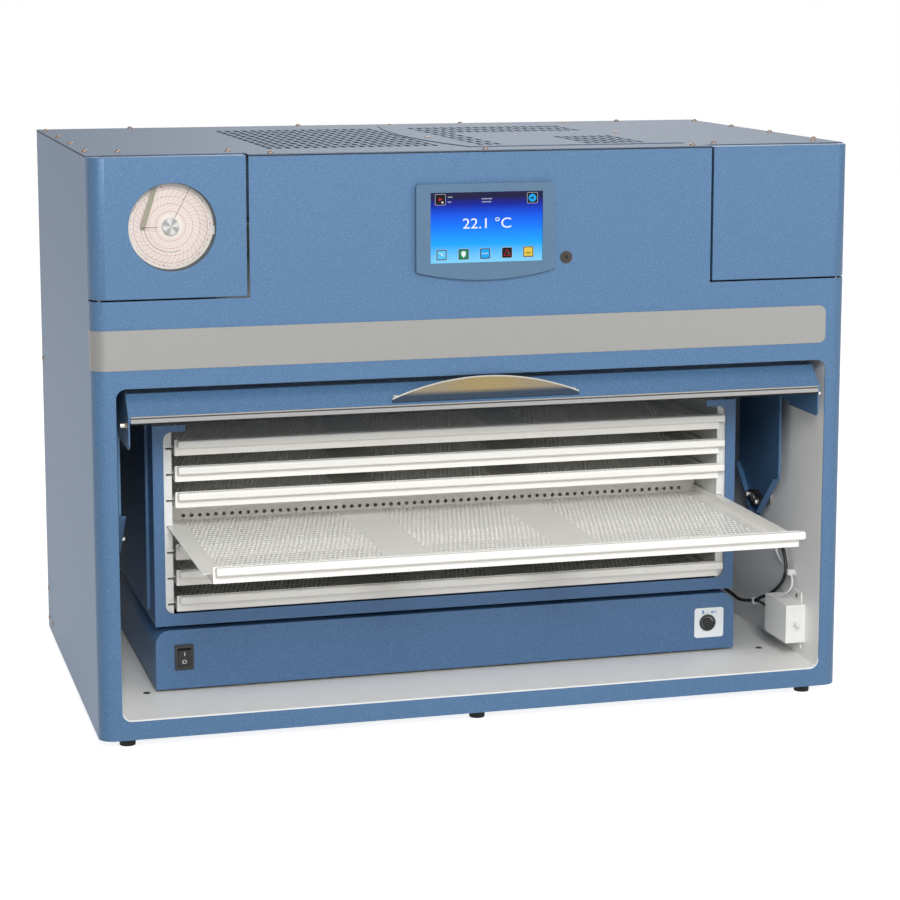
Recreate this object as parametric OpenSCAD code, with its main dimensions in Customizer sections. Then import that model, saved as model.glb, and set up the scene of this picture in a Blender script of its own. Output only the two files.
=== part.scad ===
// Countertop platelet incubator with a flatbed agitator inside.
// Every shape is drawn from the middle of the cabinet's lower front edge: x across, y into the depth,
// z up. place() then lifts the whole unit onto its feet and centres its depth on the origin.

/* [Cabinet] */
// Width over the side panels
cab_w = 1040; // [960:5:1120]
// Height of the sheet metal body without feet and lid
cab_h = 762; // [758:1:770]
// Depth of the sheet metal body
cab_d = 615; // [600:1:660]
// Thickness of the painted sheet
sheet = 1.5; // [1:0.5:2]
// Radius of the two upright front corners
corner_r = 20; // [16:1:24]
// Height of the feet
foot_h = 15; // [10:1:25]
// Thickness of the lid plates
lid_t = 1.2; // [1:0.1:3]

/* [Chamber] */
// Width of the front opening
opening_w = 981; // [977:1:985]
// Height of the opening's lower edge
opening_z0 = 24.9; // [24.6:0.1:26]
// Height of the opening's upper edge
opening_z1 = 465.4; // [464:0.1:467]
// Radius of the opening's corners
opening_r = 13; // [8:1:16]
// Depth of the chamber
chamber_d = 560; // [556:1:564]
// Height of the chamber's ceiling
chamber_z1 = 545; // [540:1:548]

/* [Visor door] */
// Distance of the visor's pivot behind the front face
pivot_y = 188; // [186:1:190]
// Height of the visor's pivot
pivot_z = 234; // [232:1:236]
// How far the visor's flat face stands in front of the cabinet when it is shut
visor_bulge = 35; // [30:1:36]
// Width of the visor's skin
visor_w = 954; // [950:1:956]
// How far the visor opens, in degrees
visor_swing = 90; // [88:1:90]

/* [Agitator] */
// Sideways offset of the agitator from the middle of the cabinet
agit_x = -10; // [-12:1:-4]
// Width of the agitator's carriage
carriage_w = 835; // [825:1:840]
// Front face of the carriage
carriage_y = 120; // [118:1:124]
// Depth of the carriage
carriage_d = 385; // [380:1:390]
// Underside of the carriage
carriage_z0 = 118; // [117:1:119]
// Top of the carriage
carriage_z1 = 394; // [390:1:395]
// Half of the carriage's sideways stroke
stroke = 19; // [15:1:20]

/* [Drawers] */
// Number of drawers
drawer_n = 7; // [7:1:7]
// Height from one drawer to the next
drawer_pitch = 35.75; // [35:0.05:36]
// Underside of the lowest drawer
drawer_z0 = 138; // [136:0.5:139]
// Height of a drawer's front
drawer_h = 21.7; // [20:0.1:23]
// Half width of a drawer's tray
drawer_half = 388; // [386:0.5:388]
// How far a drawer pulls out
drawer_travel = 290; // [250:5:300]
// The drawer that stands open, counted from the top
open_drawer = 4; // [1:1:7]

/* [Top compartment] */
// Top of the compartment's floor plate
deck_z = 577; // [576:0.5:578]
// Inner edge of the chart door, from the middle
chart_edge = 318.3; // [310:0.1:320]
// Inner edge of the access door, from the middle
access_edge = 321.5; // [315:0.1:325]
// Middle of the chart window, from the middle of the cabinet
chart_x = -414; // [-420:1:-410]
// Height of the chart window's middle
chart_z = 671.8; // [665:0.1:680]
// Radius of the chart window
chart_window_r = 56.4; // [54:0.1:60]

/* [Hidden] */
$fn = 48;

paint = "#6286AE";
paint_top = "#8B93A2";
white_paint = "#E4E4E0";
steel = "#B5B5B2";
black = "#232323";

half = cab_w / 2;
opening_half = opening_w / 2;
gap = 2.2;                                // gap under and behind the two small doors
side_gap = 3.5;                           // gap beside the two small doors
rear_y = cab_d - sheet;                   // inner face of the rear panel
body_top = cab_h + foot_h;
// Front of the open drawer's ledge and rear of the cabinet give the middle of the depth
ledge_d = 12;                             // how far a drawer's ledge stands in front of the carriage
front_reach = carriage_y - ledge_d - drawer_travel;
rear_reach = cab_d + 3;
centre_shift = -(front_reach + rear_reach) / 2;

module place() { translate([0, centre_shift, foot_h]) children(); }

// A bar that lies along x, drawn as an outline of y and z
module along_x(x0, x1) {
    translate([x0, 0, 0]) rotate([90, 0, 90]) linear_extrude(x1 - x0) children();
}
// A plate that stands across y, drawn as an outline of x and z
module across_y(y0, y1) {
    translate([0, y1, 0]) rotate([90, 0, 0]) linear_extrude(y1 - y0) children();
}
module both_sides() { children(); mirror([1, 0, 0]) children(); }
module block(lo, hi) { translate(lo) cube(hi - lo); }
// A rectangle with round corners
module rounded(lo, hi, r) {
    translate([lo[0] + r, lo[1]]) square([hi[0] - lo[0] - 2 * r, hi[1] - lo[1]]);
    translate([lo[0], lo[1] + r]) square([hi[0] - lo[0], hi[1] - lo[1] - 2 * r]);
    for (x = [lo[0] + r, hi[0] - r], z = [lo[1] + r, hi[1] - r]) translate([x, z]) circle(r);
}
// Rod and bore along y or along x
module rod_y(c, r, y0, y1) { translate([c[0], y1, c[1]]) rotate([90, 0, 0]) cylinder(r = r, h = y1 - y0); }
module rod_x(c, r, x0, x1) { translate([x0, c[0], c[1]]) rotate([0, 90, 0]) cylinder(r = r, h = x1 - x0); }
module rod_z(c, r, z0, z1) { translate([c[0], c[1], z0]) cylinder(r = r, h = z1 - z0); }

// ---------------------------------------------------------------- cabinet
// Outline of the cabinet in plan, drawn in by inset
module plan(inset) {
    translate([-half + inset, corner_r]) square([cab_w - 2 * inset, rear_y - corner_r]);
    translate([-half + corner_r, inset]) square([cab_w - 2 * corner_r, rear_y - inset]);
    for (s = [-1, 1]) translate([s * (half - corner_r), corner_r]) circle(corner_r - inset);
}
door_z0 = deck_z + 3.5;                   // lower edge of both small doors
door_z1 = cab_h - 0.2;                    // upper edge of both small doors
door_wrap = 23;                           // how far the small doors wrap round the corners
screen_lo = [-95, 592.5];                 // lowest point of the screen bezel
screen_hi = [95, 720];
screen_side_z = 604.7;                    // lower corners of the screen bezel
lcd_lo = [-75.7, 615.8];
lcd_hi = [78, 708.6];
lock_at = [112.8, 618.5];
lock_r = 7;

module cabinet_shell() {
    color(paint) difference() {
        linear_extrude(cab_h) difference() {
            plan(0);
            plan(sheet);
            translate([-half + sheet, corner_r]) square([cab_w - 2 * sheet, cab_d]);
        }
        across_y(-1, 2 * sheet) rounded([-opening_half, opening_z0], [opening_half, opening_z1], opening_r);
        block([-half - 1, -1, door_z0 - gap], [-chart_edge + side_gap, door_wrap + gap, cab_h + 1]);
        block([access_edge - side_gap, -1, door_z0 - gap], [half + 1, door_wrap + gap, cab_h + 1]);
        block([lcd_lo[0] - 4, -1, lcd_lo[1] - 4], [lcd_hi[0] + 4, 3, lcd_hi[1] + 4]);
        rod_y(lock_at, lock_r, -1, 3);
    }
}

pan_wall = 24;
module base_pan() {
    color(paint) difference() {
        linear_extrude(pan_wall) intersection() { plan(sheet); translate([-half, 0]) square([cab_w, rear_y]); }
        translate([0, 0, sheet]) linear_extrude(pan_wall) intersection() {
            plan(2 * sheet);
            translate([-half, 0]) square([cab_w, rear_y - sheet]);
        }
    }
}

fan_at = [300, 660];                      // condenser fan, x and z
fan_r = 62;
inlet_at = [-400, 630];
inlet_size = [48, 28];
module rear_panel() {
    color(paint_top) difference() {
        block([-half, rear_y, 0], [half, cab_d, cab_h]);
        for (row = [-6 : 6]) let (w = sqrt(fan_r * fan_r - pow(row * 9, 2)))
            if (w > 12) block([fan_at[0] - w, rear_y - 1, fan_at[1] + row * 9 - 2.5],
                [fan_at[0] + w, cab_d + 1, fan_at[1] + row * 9 + 2.5]);
        for (i = [-7 : 7]) block([-60 + i * 18 - 4, rear_y - 1, 600], [-60 + i * 18 + 4, cab_d + 1, 650]);
        block([inlet_at[0] - inlet_size[0] / 2, rear_y - 1, inlet_at[1] - inlet_size[1] / 2],
            [inlet_at[0] + inlet_size[0] / 2, cab_d + 1, inlet_at[1] + inlet_size[1] / 2]);
    }
}

// Rows of vent slots: each slot has eight corners
slot_w = 7.4;
slot_l = 34;
slot_px = 12.6;
slot_py = 41.8;                           // rows of the left field and the small one
cover_py = 46;                            // rows of the cover's long fields
function slot(c) = let (w = slot_w / 2, l = slot_l / 2, e = 2.2)
    [[c[0] - w, c[1] - l + e * 1.4], [c[0] - w + e, c[1] - l], [c[0] + w - e, c[1] - l],
     [c[0] + w, c[1] - l + e * 1.4], [c[0] + w, c[1] + l - e * 1.4], [c[0] + w - e, c[1] + l],
     [c[0] - w + e, c[1] + l], [c[0] - w, c[1] + l - e * 1.4]];
// Middles of the slots of a field, from the middle of its first slot
function slot_field(first, columns, rows, py) = [for (j = [0 : rows - 1], i = [0 : columns - 1])
    first + [i * slot_px, j * py]];
// Room under a field of slots, with a margin all round
module field_room(first, columns, rows, py) {
    translate(first - [slot_w / 2 + 4, slot_l / 2 + 3])
        square([(columns - 1) * slot_px + slot_w + 8, (rows - 1) * py + slot_l + 6]);
}
module slots(centres) {
    polygon(points = [for (c = centres) each slot(c)],
        paths = [for (i = [0 : len(centres) - 1]) [for (k = [0 : 7]) 8 * i + k]]);
}

cover_lift = 1.2;                         // the service cover lies on the lid
cover_x1 = 300;
cover_y0 = 58;
cover_y1 = 582;
cover_arc_r = 1212;                       // the cover's left edge is an arc in plan
cover_arc_y = 318;
cover_left = -33;
left_vent = slot_field([-266.5, 112], 19, 10, slot_py);
// the service cover's three fields: across its rear, down its left side and a small one in front
rear_field = [[20, 100 + 6 * cover_py], 19, 3, cover_py];
side_field = [[20, 100], 3, 6, cover_py];
small_field = [[171, 92], 7, 4, slot_py];
cover_fields = [rear_field, side_field, small_field];
right_vents = [for (f = cover_fields) each slot_field(f[0], f[1], f[2], f[3])];

module lid_outline() {
    difference() {
        union() { plan(0); translate([-half, corner_r]) square([cab_w, cab_d - corner_r]); }
        // the lid stands back from the tops of the two small doors
        translate([-half - 1, -1]) square([half + 1 - chart_edge + side_gap, door_wrap + gap + 1]);
        translate([access_edge - side_gap, -1]) square([half, door_wrap + gap + 1]);
    }
}
module top_lid() {
    color(paint_top) translate([0, 0, cab_h]) difference() {
        linear_extrude(lid_t) lid_outline();
        translate([0, 0, -1]) linear_extrude(lid_t + 2) {
            slots(left_vent);
            // the lid is open under the service cover's vents
            for (f = cover_fields) field_room(f[0], f[1], f[2], f[3]);
        }
    }
}
module service_cover() {
    color(paint_top) translate([0, 0, cab_h + lid_t]) difference() {
        linear_extrude(cover_lift) intersection() {
            translate([cover_left + cover_arc_r, cover_arc_y]) circle(cover_arc_r, $fn = 360);
            translate([-60, cover_y0]) square([cover_x1 + 60, cover_y1 - cover_y0]);
        }
        translate([0, 0, -1]) linear_extrude(cover_lift + 2) slots(right_vents);
    }
}

screw_r = 4.2;
module screw_head() { difference() { cylinder(r = screw_r, h = 2); translate([0, 0, 1.2]) cylinder(r = 1.6, h = 2); } }
side_screws = [for (x = [-half + 9, half - 9], y = [105, 264, 415, 572]) [x, y]];
front_screws = [[-471, 84], [-330, 66], [-283, 16], [5, 16], [296, 16], [340, 52], [491, 62]];
rear_screws = [[-382, 603], [-124, 603], [132, 597], [389, 597]];
cover_screws = [[13, 570], [289, 560], [-12, 250], [285, 300]];
module panel_screws() {
    color(steel) {
        for (p = concat(side_screws, front_screws, rear_screws))
            translate([p[0], p[1], cab_h + lid_t]) screw_head();
        for (p = cover_screws) translate([p[0], p[1], cab_h + lid_t + cover_lift]) screw_head();
        for (s = [-1, 1], q = [[600, 64], [600, 18], [560, 18], [600, 420]])
            translate([s * half, q[0], q[1]]) rotate([0, s * 90, 0]) screw_head();
        for (x = [-500, -250, 0, 250, 500], z = [20, 380, 745])
            translate([x, cab_d, z]) rotate([-90, 0, 0]) screw_head();
    }
}

foot_r = 12;
foot_x = 480;
module feet() {
    color(black) for (x = [-foot_x, 0, foot_x], y = [34, 560])
        translate([x, y, -foot_h]) cylinder(r1 = foot_r - 1.5, r2 = foot_r, h = foot_h);
}

band_z0 = 489.2;
band_z1 = 541.2;
band_end = 489;
band_t = 1;
module trim_band() {
    color("#ABABA8") intersection() {
        translate([0, 0, band_z0]) linear_extrude(band_z1 - band_z0) difference() {
            union() {
                translate([-half + corner_r, -band_t]) square([band_end + half - corner_r, band_t]);
                intersection() {
                    translate([-half + corner_r, corner_r]) circle(corner_r + band_t);
                    translate([-half - 5, -5]) square([corner_r + 5, corner_r + 5]);
                }
            }
            translate([-half + corner_r, corner_r]) circle(corner_r);
        }
        union() {
            across_y(-5, corner_r) rounded([-opening_half, band_z0], [band_end, band_z1], 10);
            block([-half - 5, -5, band_z0], [-opening_half + 20, corner_r, band_z1]);
        }
    }
}

// ---------------------------------------------------------------- chamber
liner_t = 2;
liner_half = opening_half;                // inner face of the liner's side walls
liner_z0 = opening_z0 + liner_t;          // chamber floor
liner_y0 = 0.3;
module chamber_liner() {
    color(white_paint) difference() {
        block([-liner_half - liner_t, liner_y0, opening_z0], [liner_half + liner_t, chamber_d + liner_t, chamber_z1 + liner_t]);
        // the chamber behind the header
        block([-liner_half, 6, liner_z0], [liner_half, chamber_d, chamber_z1]);
        // the mouth, with the opening's round corners
        across_y(-1, 7) rounded([-liner_half, liner_z0], [liner_half, opening_z1], opening_r);
        // the header and the corners stay clear of the front sheet
        difference() {
            block([-half, -1, 0], [half, sheet, cab_h]);
            across_y(-2, 3) rounded([-opening_half, opening_z0], [opening_half, opening_z1], opening_r);
        }
        for (p = [[-441.2, 120.6], [448.4, 116.7]]) rod_z(p, 3.5, opening_z0 - 1, liner_z0 + 1);
        // ducts for the circulating air
        for (x = [-120, 120]) block([x - 60, chamber_d - 1, 412], [x + 60, chamber_d + liner_t + 1, 420]);
    }
}
module foam_insulation() {
    color("#E9DFC4") difference() {
        translate([0, 0, pan_wall]) linear_extrude(575 - pan_wall) intersection() {
            plan(sheet);
            translate([-half, 0]) square([cab_w, rear_y]);
        }
        block([-liner_half - liner_t, -1, opening_z0], [liner_half + liner_t, chamber_d + liner_t, chamber_z1 + liner_t]);
        block([-half, -1, 0], [half, 8, opening_z0]);
    }
}
module compartment_deck() {
    color(steel) translate([0, 0, 575]) linear_extrude(deck_z - 575) intersection() {
        plan(sheet);
        translate([-half, sheet]) square([cab_w, rear_y - sheet]);
    }
}

// ---------------------------------------------------------------- top compartment
comp_at = [400, 420];
module compressor() {
    color(black) translate([comp_at[0], comp_at[1], deck_z]) {
        for (a = [45 : 90 : 315]) rotate(a) translate([52, 0, 0]) cylinder(r = 9, h = 14);
        translate([0, 0, 14]) rotate_extrude() polygon([[0, 0], [48, 0], [56, 8], [56, 96], [46, 118], [26, 128], [0, 131]]);
        translate([56, -18, 45]) cube([26, 36, 42]);
        translate([-30, 0, 130]) cylinder(r = 4, h = 22);
        translate([18, 22, 126]) cylinder(r = 3.2, h = 30);
    }
}
module condenser() {
    color("#9C9C98") {
        for (i = [0 : 20]) block([222 + i * 7.8, 525, deck_z + 12], [223.2 + i * 7.8, 566, 742]);
        for (z = [610 : 26 : 730]) rod_x([545, z], 4.7, 218, 384);
        block([214, 520, deck_z], [218, 570, 750]);
        block([384, 520, deck_z], [388, 570, 750]);
    }
    color(black) difference() {
        block([228, 572, 588], [372, 600, 732]);
        rod_y(fan_at, fan_r + 1, 571, 601);
    }
}
module condenser_fan() {
    color(black) translate([fan_at[0], 576, fan_at[1]]) rotate([-90, 0, 0]) {
        cylinder(r = 19, h = 20);
        for (a = [0 : 72 : 288]) rotate(a) translate([17, -3, 2]) rotate([32, 0, 0]) cube([fan_r - 20, 3, 16]);
    }
}
plenum_y = 516;
circ_at = [0, 478];
module evaporator() {
    color("#C2C2BE") {
        for (i = [0 : 28]) block([-210 + i * 15, 540, 440], [-209 + i * 15, 558, 532]);
        for (z = [455, 486, 517]) rod_x([549, z], 4.7, -214, 214);
        block([-218, 538, 436], [-214, 560, 536]);
        block([214, 538, 436], [218, 560, 536]);
    }
}
module plenum_cover() {
    color(white_paint) difference() {
        block([-240, plenum_y, 405], [240, chamber_d, chamber_z1]);
        block([-238.5, plenum_y + 1.5, 404], [238.5, chamber_d + 1, chamber_z1 + 1]);
        rod_y(circ_at, 52, plenum_y - 1, plenum_y + 3);
    }
    color(black) rod_y(circ_at, 9, 531, 538);
}
module circulation_fan() {
    color(black) translate([circ_at[0], 519, circ_at[1]]) rotate([-90, 0, 0]) {
        cylinder(r = 16, h = 11.7);
        for (a = [0 : 60 : 300]) rotate(a) translate([14, -2, 1]) rotate([30, 0, 0]) cube([34, 2, 9]);
    }
}
module control_board() {
    color("#2F6B3C") block([-160, 60, 640], [60, 61.6, 745]);
    color(black) for (x = [-140, -90, -30, 20]) block([x, 61.6, 660], [x + 26, 70, 690]);
    color(steel) for (x = [-155, 45], z = [645, 735]) block([x, 42, z], [x + 8, 60, z + 6]);
    color(steel) block([-160, 40, deck_z], [60, 42, 745]);
}
module power_supply() {
    color(steel) block([-300, 420, deck_z], [-150, 520, deck_z + 55]);
    color(black) for (i = [0 : 7]) block([-290 + i * 17, 424, deck_z + 55], [-280 + i * 17, 516, deck_z + 57]);
}
module power_inlet() {
    color(black) difference() {
        union() {
            block([inlet_at[0] - inlet_size[0] / 2, rear_y - 22, inlet_at[1] - inlet_size[1] / 2],
                [inlet_at[0] + inlet_size[0] / 2, cab_d, inlet_at[1] + inlet_size[1] / 2]);
            block([inlet_at[0] - 32, cab_d, inlet_at[1] - 18], [inlet_at[0] + 32, cab_d + 3, inlet_at[1] + 18]);
        }
        block([inlet_at[0] - 14, rear_y - 17, inlet_at[1] - 9], [inlet_at[0] + 14, cab_d + 4, inlet_at[1] + 9]);
    }
    color(steel) for (x = [-6, 0, 6]) rod_y([inlet_at[0] + x, inlet_at[1] + (x == 0 ? 3 : -2)], 1.6, rear_y - 17, cab_d - 8);
}
bezel_d = 7;
bezel_arc_r = 376;
module bezel_outline() {
    rounded([screen_lo[0], screen_side_z], screen_hi, 5);
    intersection() {
        translate([0, screen_lo[1] + bezel_arc_r]) circle(bezel_arc_r, $fn = 240);
        translate([screen_lo[0], screen_lo[1] - 1]) square([screen_hi[0] - screen_lo[0], 40]);
    }
}
module screen_bezel() {
    color("#5E83A8") difference() {
        across_y(-bezel_d, 0) bezel_outline();
        block([lcd_lo[0], -bezel_d - 1, lcd_lo[1]], [lcd_hi[0], 1, lcd_hi[1]]);
    }
}
module touch_screen() {
    color("#1372E0") block([lcd_lo[0], -bezel_d + 2, lcd_lo[1]], [lcd_hi[0], 10, lcd_hi[1]]);
}
barrel_r = 4.5;
module lock_body() {
    color("#8F8F8C") difference() {
        union() {
            rod_y(lock_at, lock_r, 0, 24);
            rod_y(lock_at, lock_r + 1, -2, 0);
        }
        rod_y(lock_at, barrel_r + 0.05, -3, 18);
    }
}
module key_barrel() {
    color("#6F6F6C") difference() {
        rod_y(lock_at, barrel_r, -3, 17.5);
        block([lock_at[0] - 0.8, -4, lock_at[1] - 2.6], [lock_at[0] + 0.8, 8, lock_at[1] + 2.6]);
    }
}

chart_y = 17;
hub_r = 10.5;
chart_r = 55.5;
pen_pivot = [-429, 738];
pen_tip = [-450, 671];
module recorder_case() {
    color("#3A3A3A") difference() {
        block([chart_x - 78, chart_y + 2, 590], [chart_x + 66, 110, 752]);
        rod_y([chart_x, chart_z], 3.05, chart_y + 1, 60);
        rod_y(pen_pivot, 2.05, chart_y + 1, 40);
    }
}
module chart_paper() {
    color("#EFE6DE") difference() {
        rod_y([chart_x, chart_z], chart_r, chart_y, chart_y + 0.8);
        rod_y([chart_x, chart_z], 3, chart_y - 1, chart_y + 2);
    }
}
module chart_hub() {
    color(steel) {
        rod_y([chart_x, chart_z], hub_r, chart_y - 6, chart_y);
        rod_y([chart_x, chart_z], 3, chart_y, 58);
    }
}
// A flat bar from p to q in the plane of x and z
module bar_xz(p, q, w, y0, y1) {
    across_y(y0, y1) translate(p) rotate(atan2(q[1] - p[1], q[0] - p[0]))
        translate([0, -w / 2]) square([norm(q - p), w]);
}
module pen_arm() {
    color("#8A8468") {
        bar_xz(pen_pivot, pen_tip, 6.5, chart_y - 3, chart_y - 2);
        rod_y(pen_pivot, 5, chart_y - 3, chart_y + 1.5);
        rod_y(pen_pivot, 2, chart_y + 1.5, 38);
        rod_y(pen_tip, 3.2, chart_y - 3, chart_y - 1);
    }
}

// A small door that wraps round the left front corner, hinged on the corner
hinge_in = 12;                            // distance of the small doors' hinge from both outer faces
flange_d = 14;
module corner_door(edge, hole) {
    inner = -edge;
    module wrap(inset) {
        translate([-half + corner_r, inset]) square([inner - inset + half - corner_r, 60]);
        intersection() {
            union() {
                translate([-half + corner_r, corner_r]) circle(corner_r - inset);
                translate([-half + inset, corner_r]) square([60, 60]);
            }
            translate([-half, 0]) square([corner_r, 90]);
        }
    }
    difference() {
        translate([0, 0, door_z0]) linear_extrude(door_z1 - door_z0) difference() {
            intersection() { wrap(0); translate([-half, 0]) square([cab_w, door_wrap]); }
            wrap(sheet);
        }
        if (hole) rod_y([chart_x, chart_z], chart_window_r, -1, 3);
    }
    // folded flanges along the top and the bottom carry the hinge bores
    translate([0, 0, door_z0]) linear_extrude(sheet) difference() {
        intersection() { wrap(sheet); translate([-half, sheet]) square([inner + half - 20, flange_d]); }
        translate([-half + hinge_in, hinge_in]) circle(r = hinge_r + 0.05);
        translate([-half, hinge_in + 4]) square([8, 20]);
    }
    translate([0, 0, door_z1 - sheet]) linear_extrude(sheet) difference() {
        intersection() { wrap(sheet); translate([-half, 0]) square([inner + half, door_wrap]); }
        translate([-half + hinge_in, hinge_in]) circle(r = hinge_r + 0.05);
    }
    block([inner - sheet, sheet, door_z0], [inner, flange_d, door_z1]);
}
hinge_r = 2.5;
module chart_door() { color(paint) corner_door(chart_edge, true); }
module chart_window() {
    color([0.9, 0.95, 1, 0.3]) rod_y([chart_x, chart_z], chart_window_r + 6, sheet, sheet + 2);
}
module access_door() { color(paint) mirror([1, 0, 0]) corner_door(access_edge, false); }
module backup_battery() {
    color(black) {
        block([380, 60, deck_z], [480, 130, deck_z + 95]);
        for (x = [395, 455]) block([x, 80, deck_z + 95], [x + 10, 96, deck_z + 103]);
    }
    color(steel) difference() {
        block([374, 56, deck_z], [486, 134, deck_z + 30]);
        block([376, 58, deck_z - 1], [484, 132, deck_z + 31]);
    }
}

// ---------------------------------------------------------------- visor door
// The visor is drawn shut and then swung open about its pivot
module swung() {
    translate([0, pivot_y, pivot_z]) rotate([-visor_swing, 0, 0]) translate([0, -pivot_y, -pivot_z]) children();
}
visor_foot = [-9, 33];                    // lowest outer edge of the shut visor, y and z
visor_head = [16, 459];                   // highest outer edge
bevel = visor_bulge + visor_foot[0];      // run of the lower bevel
bevel_up = visor_bulge + visor_head[0];   // run of the upper bevel
cham = sheet * (sqrt(2) - 1);
module visor_profile() {
    polygon([visor_foot, [-visor_bulge, visor_foot[1] + bevel], [-visor_bulge, visor_head[1] - bevel_up], visor_head,
        visor_head + [5, 0], visor_head + [5, -sheet], visor_head + [cham + 1, -sheet],
        [-visor_bulge + sheet, visor_head[1] - bevel_up - cham],
        [-visor_bulge + sheet, visor_foot[1] + bevel + cham],
        visor_foot + [cham + 1, sheet], visor_foot + [8.5, sheet], visor_foot + [8.5, 0]]);
}
flange_y = 34;                            // inner edge of the visor's end plates
end_notch = [[flange_y + 1, 151], [29.6, 128.5], [27, 169.5], [flange_y + 1, 169.5]];
end_x = visor_w / 2 - 2;                  // inner face of the visor's end plates
module end_plate_outline() {
    polygon([visor_foot + [cham + 1, sheet], [flange_y - 5, visor_foot[1] + sheet], [flange_y, visor_foot[1] + 7],
        [flange_y, visor_head[1] - 7], [flange_y - 5, visor_head[1] - sheet], visor_head + [cham + 1, -sheet],
        [-visor_bulge + sheet, visor_head[1] - bevel_up - cham],
        [-visor_bulge + sheet, visor_foot[1] + bevel + cham]]);
}
pane_lo = [-440, 100];
pane_hi = [440, 375];
pane_r = 22;
module visor_skin() {
    color(paint) swung() {
        difference() {
            along_x(-visor_w / 2, visor_w / 2) visor_profile();
            across_y(-visor_bulge - 1, -visor_bulge + 3) rounded(pane_lo, pane_hi, pane_r);
        }
        both_sides() along_x(end_x, end_x + 2) difference() {
            end_plate_outline();
            polygon(end_notch);
        }
    }
}
pane_lap = 12;
module visor_window() {
    color([0.75, 0.85, 0.92, 0.35]) swung()
        across_y(-visor_bulge + sheet, -visor_bulge + sheet + 4)
            rounded(pane_lo - [pane_lap, pane_lap], pane_hi + [pane_lap, pane_lap], pane_r);
}
trim_half = 474;
module visor_trim() {
    color("#B9B4AF") swung() difference() {
        along_x(-trim_half, trim_half) polygon([visor_foot + [-0.6, -2.4], visor_foot + [10.2, -2.4],
            visor_foot + [10.2, 7], visor_foot + [8.5, 7], visor_foot + [8.5, 0], visor_foot + [-0.6, 0]]);
        along_x(-trim_half - 1, trim_half + 1) translate(visor_foot + [1.4, -3]) square([1, 1.4]);
    }
}
handle_w = 258;
handle_d = 31;
handle_rim = 5.5;                         // straight part under the handle's arc
handle_arc = (pow(handle_w / 2, 2) + pow(handle_d - handle_rim, 2)) / (2 * (handle_d - handle_rim));
module visor_handle() {
    color("#C8BBA2") swung() {
        translate([0, visor_foot[0] - 3.5, visor_foot[1] + 1.6]) linear_extrude(1.8) intersection() {
            translate([0, handle_arc - handle_d]) circle(handle_arc, $fn = 180);
            translate([-handle_w / 2, -handle_d - 1]) square([handle_w, handle_d + 1]);
        }
        // folded foot against the visor's lower bevel
        along_x(-handle_w / 2 + 3, handle_w / 2 - 3) translate(visor_foot)
            polygon([[-4, 4], [-11, 11], [-11.85, 10.15], [-4.85, 3.15]]);
    }
}
arm_t = 3;
arm_bores = [pivot_y, pivot_z];
// From the end plate back to the pivot, seen with the visor shut
arm_outline = [[-visor_bulge + 6, 159], [145, 159], [215, 229], [215, 241], [145, 309], [-visor_bulge + 6, 309]];
module arm_flange(p, q) {
    along_x(end_x - 10, end_x - arm_t) translate(p) rotate(atan2(q[1] - p[1], q[0] - p[0]))
        square([norm(q - p), 2]);
}
pin_r = 6;
module visor_arms() {
    color(paint) swung() both_sides() difference() {
        union() {
            along_x(end_x - arm_t, end_x) polygon(arm_outline);
            arm_flange([149, 163], [209, 223]);
            arm_flange([211, 244.9], [149, 305.1]);
        }
        rod_x(arm_bores, pin_r + 0.05, end_x - 12, end_x + 1);
    }
}
bolt_turn = 98;                           // how the bearing's two bolts lie, with the visor shut
bolt_reach = 17;
module pivot_blocks() {
    swung() both_sides() {
        color(black) difference() {
            translate([end_x - arm_t - 8, 0, 0]) along_x(0, 8) translate(arm_bores) rotate(bolt_turn) {
                circle(12);
                for (s = [-1, 1]) translate([s * bolt_reach, 0]) circle(6.5);
                polygon([[-bolt_reach, -6.5], [0, -12], [bolt_reach, -6.5], [bolt_reach, 6.5], [0, 12], [-bolt_reach, 6.5]]);
            }
            rod_x(arm_bores, pin_r + 0.05, end_x - 20, end_x);
        }
        color(steel) for (s = [-1, 1]) translate([end_x - arm_t - 12, 0, 0]) along_x(0, 4)
            translate(arm_bores) rotate(bolt_turn) translate([s * bolt_reach, 0]) circle(4.2);
    }
}
small_pins = [-half + hinge_in, hinge_in];
module hinge_pins() {
    color(steel) {
        both_sides() {
            rod_x([pivot_y, pivot_z], pin_r, end_x - arm_t - 9, liner_half);
            rod_x([pivot_y, pivot_z], 13, liner_half - 4, liner_half);
        }
        both_sides() {
            rod_z(small_pins, hinge_r, deck_z, door_z0 + 4);
            rod_z(small_pins, hinge_r, door_z1 - 4, door_z1);
            // bracket under the lid that carries the upper pin, clear of the door's swing
            translate([0, 0, door_z1 - 5]) {
                linear_extrude(2.5) {
                    translate(small_pins) circle(5);
                    translate([small_pins[0], hinge_in - 5]) square([28, 10]);
                    translate([small_pins[0] + 18, hinge_in - 5]) square([10, 38]);
                }
                linear_extrude(5 + cab_h - door_z1) translate([small_pins[0] + 18, 32]) square([10, 13]);
            }
        }
    }
}

// ---------------------------------------------------------------- door switch
box_x = 461.3;
box_y0 = 50;
box_y1 = 127;
box_z0 = 50;
box_z1 = 105;
plunger_at = [end_x + 1, 79];
plunger_r = 3.6;
module switch_box() {
    color(white_paint) difference() {
        union() {
            block([box_x, box_y0, box_z0], [liner_half, box_y1, box_z1]);
            for (z = [[box_z1, box_z1 + 14], [box_z0 - 12, box_z0]])
                block([liner_half - 1.5, box_y0 + 12, z[0]], [liner_half, box_y0 + 42, z[1]]);
        }
        block([box_x + 1.5, box_y0 + 1.5, box_z0 + 1.5], [liner_half - 1, box_y1 - 1.5, box_z1 - 1.5]);
        rod_y(plunger_at, plunger_r + 0.05, box_y0 - 1, box_y0 + 3);
        rod_z([474, 98], 4.2, box_z1 - 3, box_z1 + 1);
        rod_y([474, 77], 4.2, box_y1 - 3, box_y1 + 1);
    }
}
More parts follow.
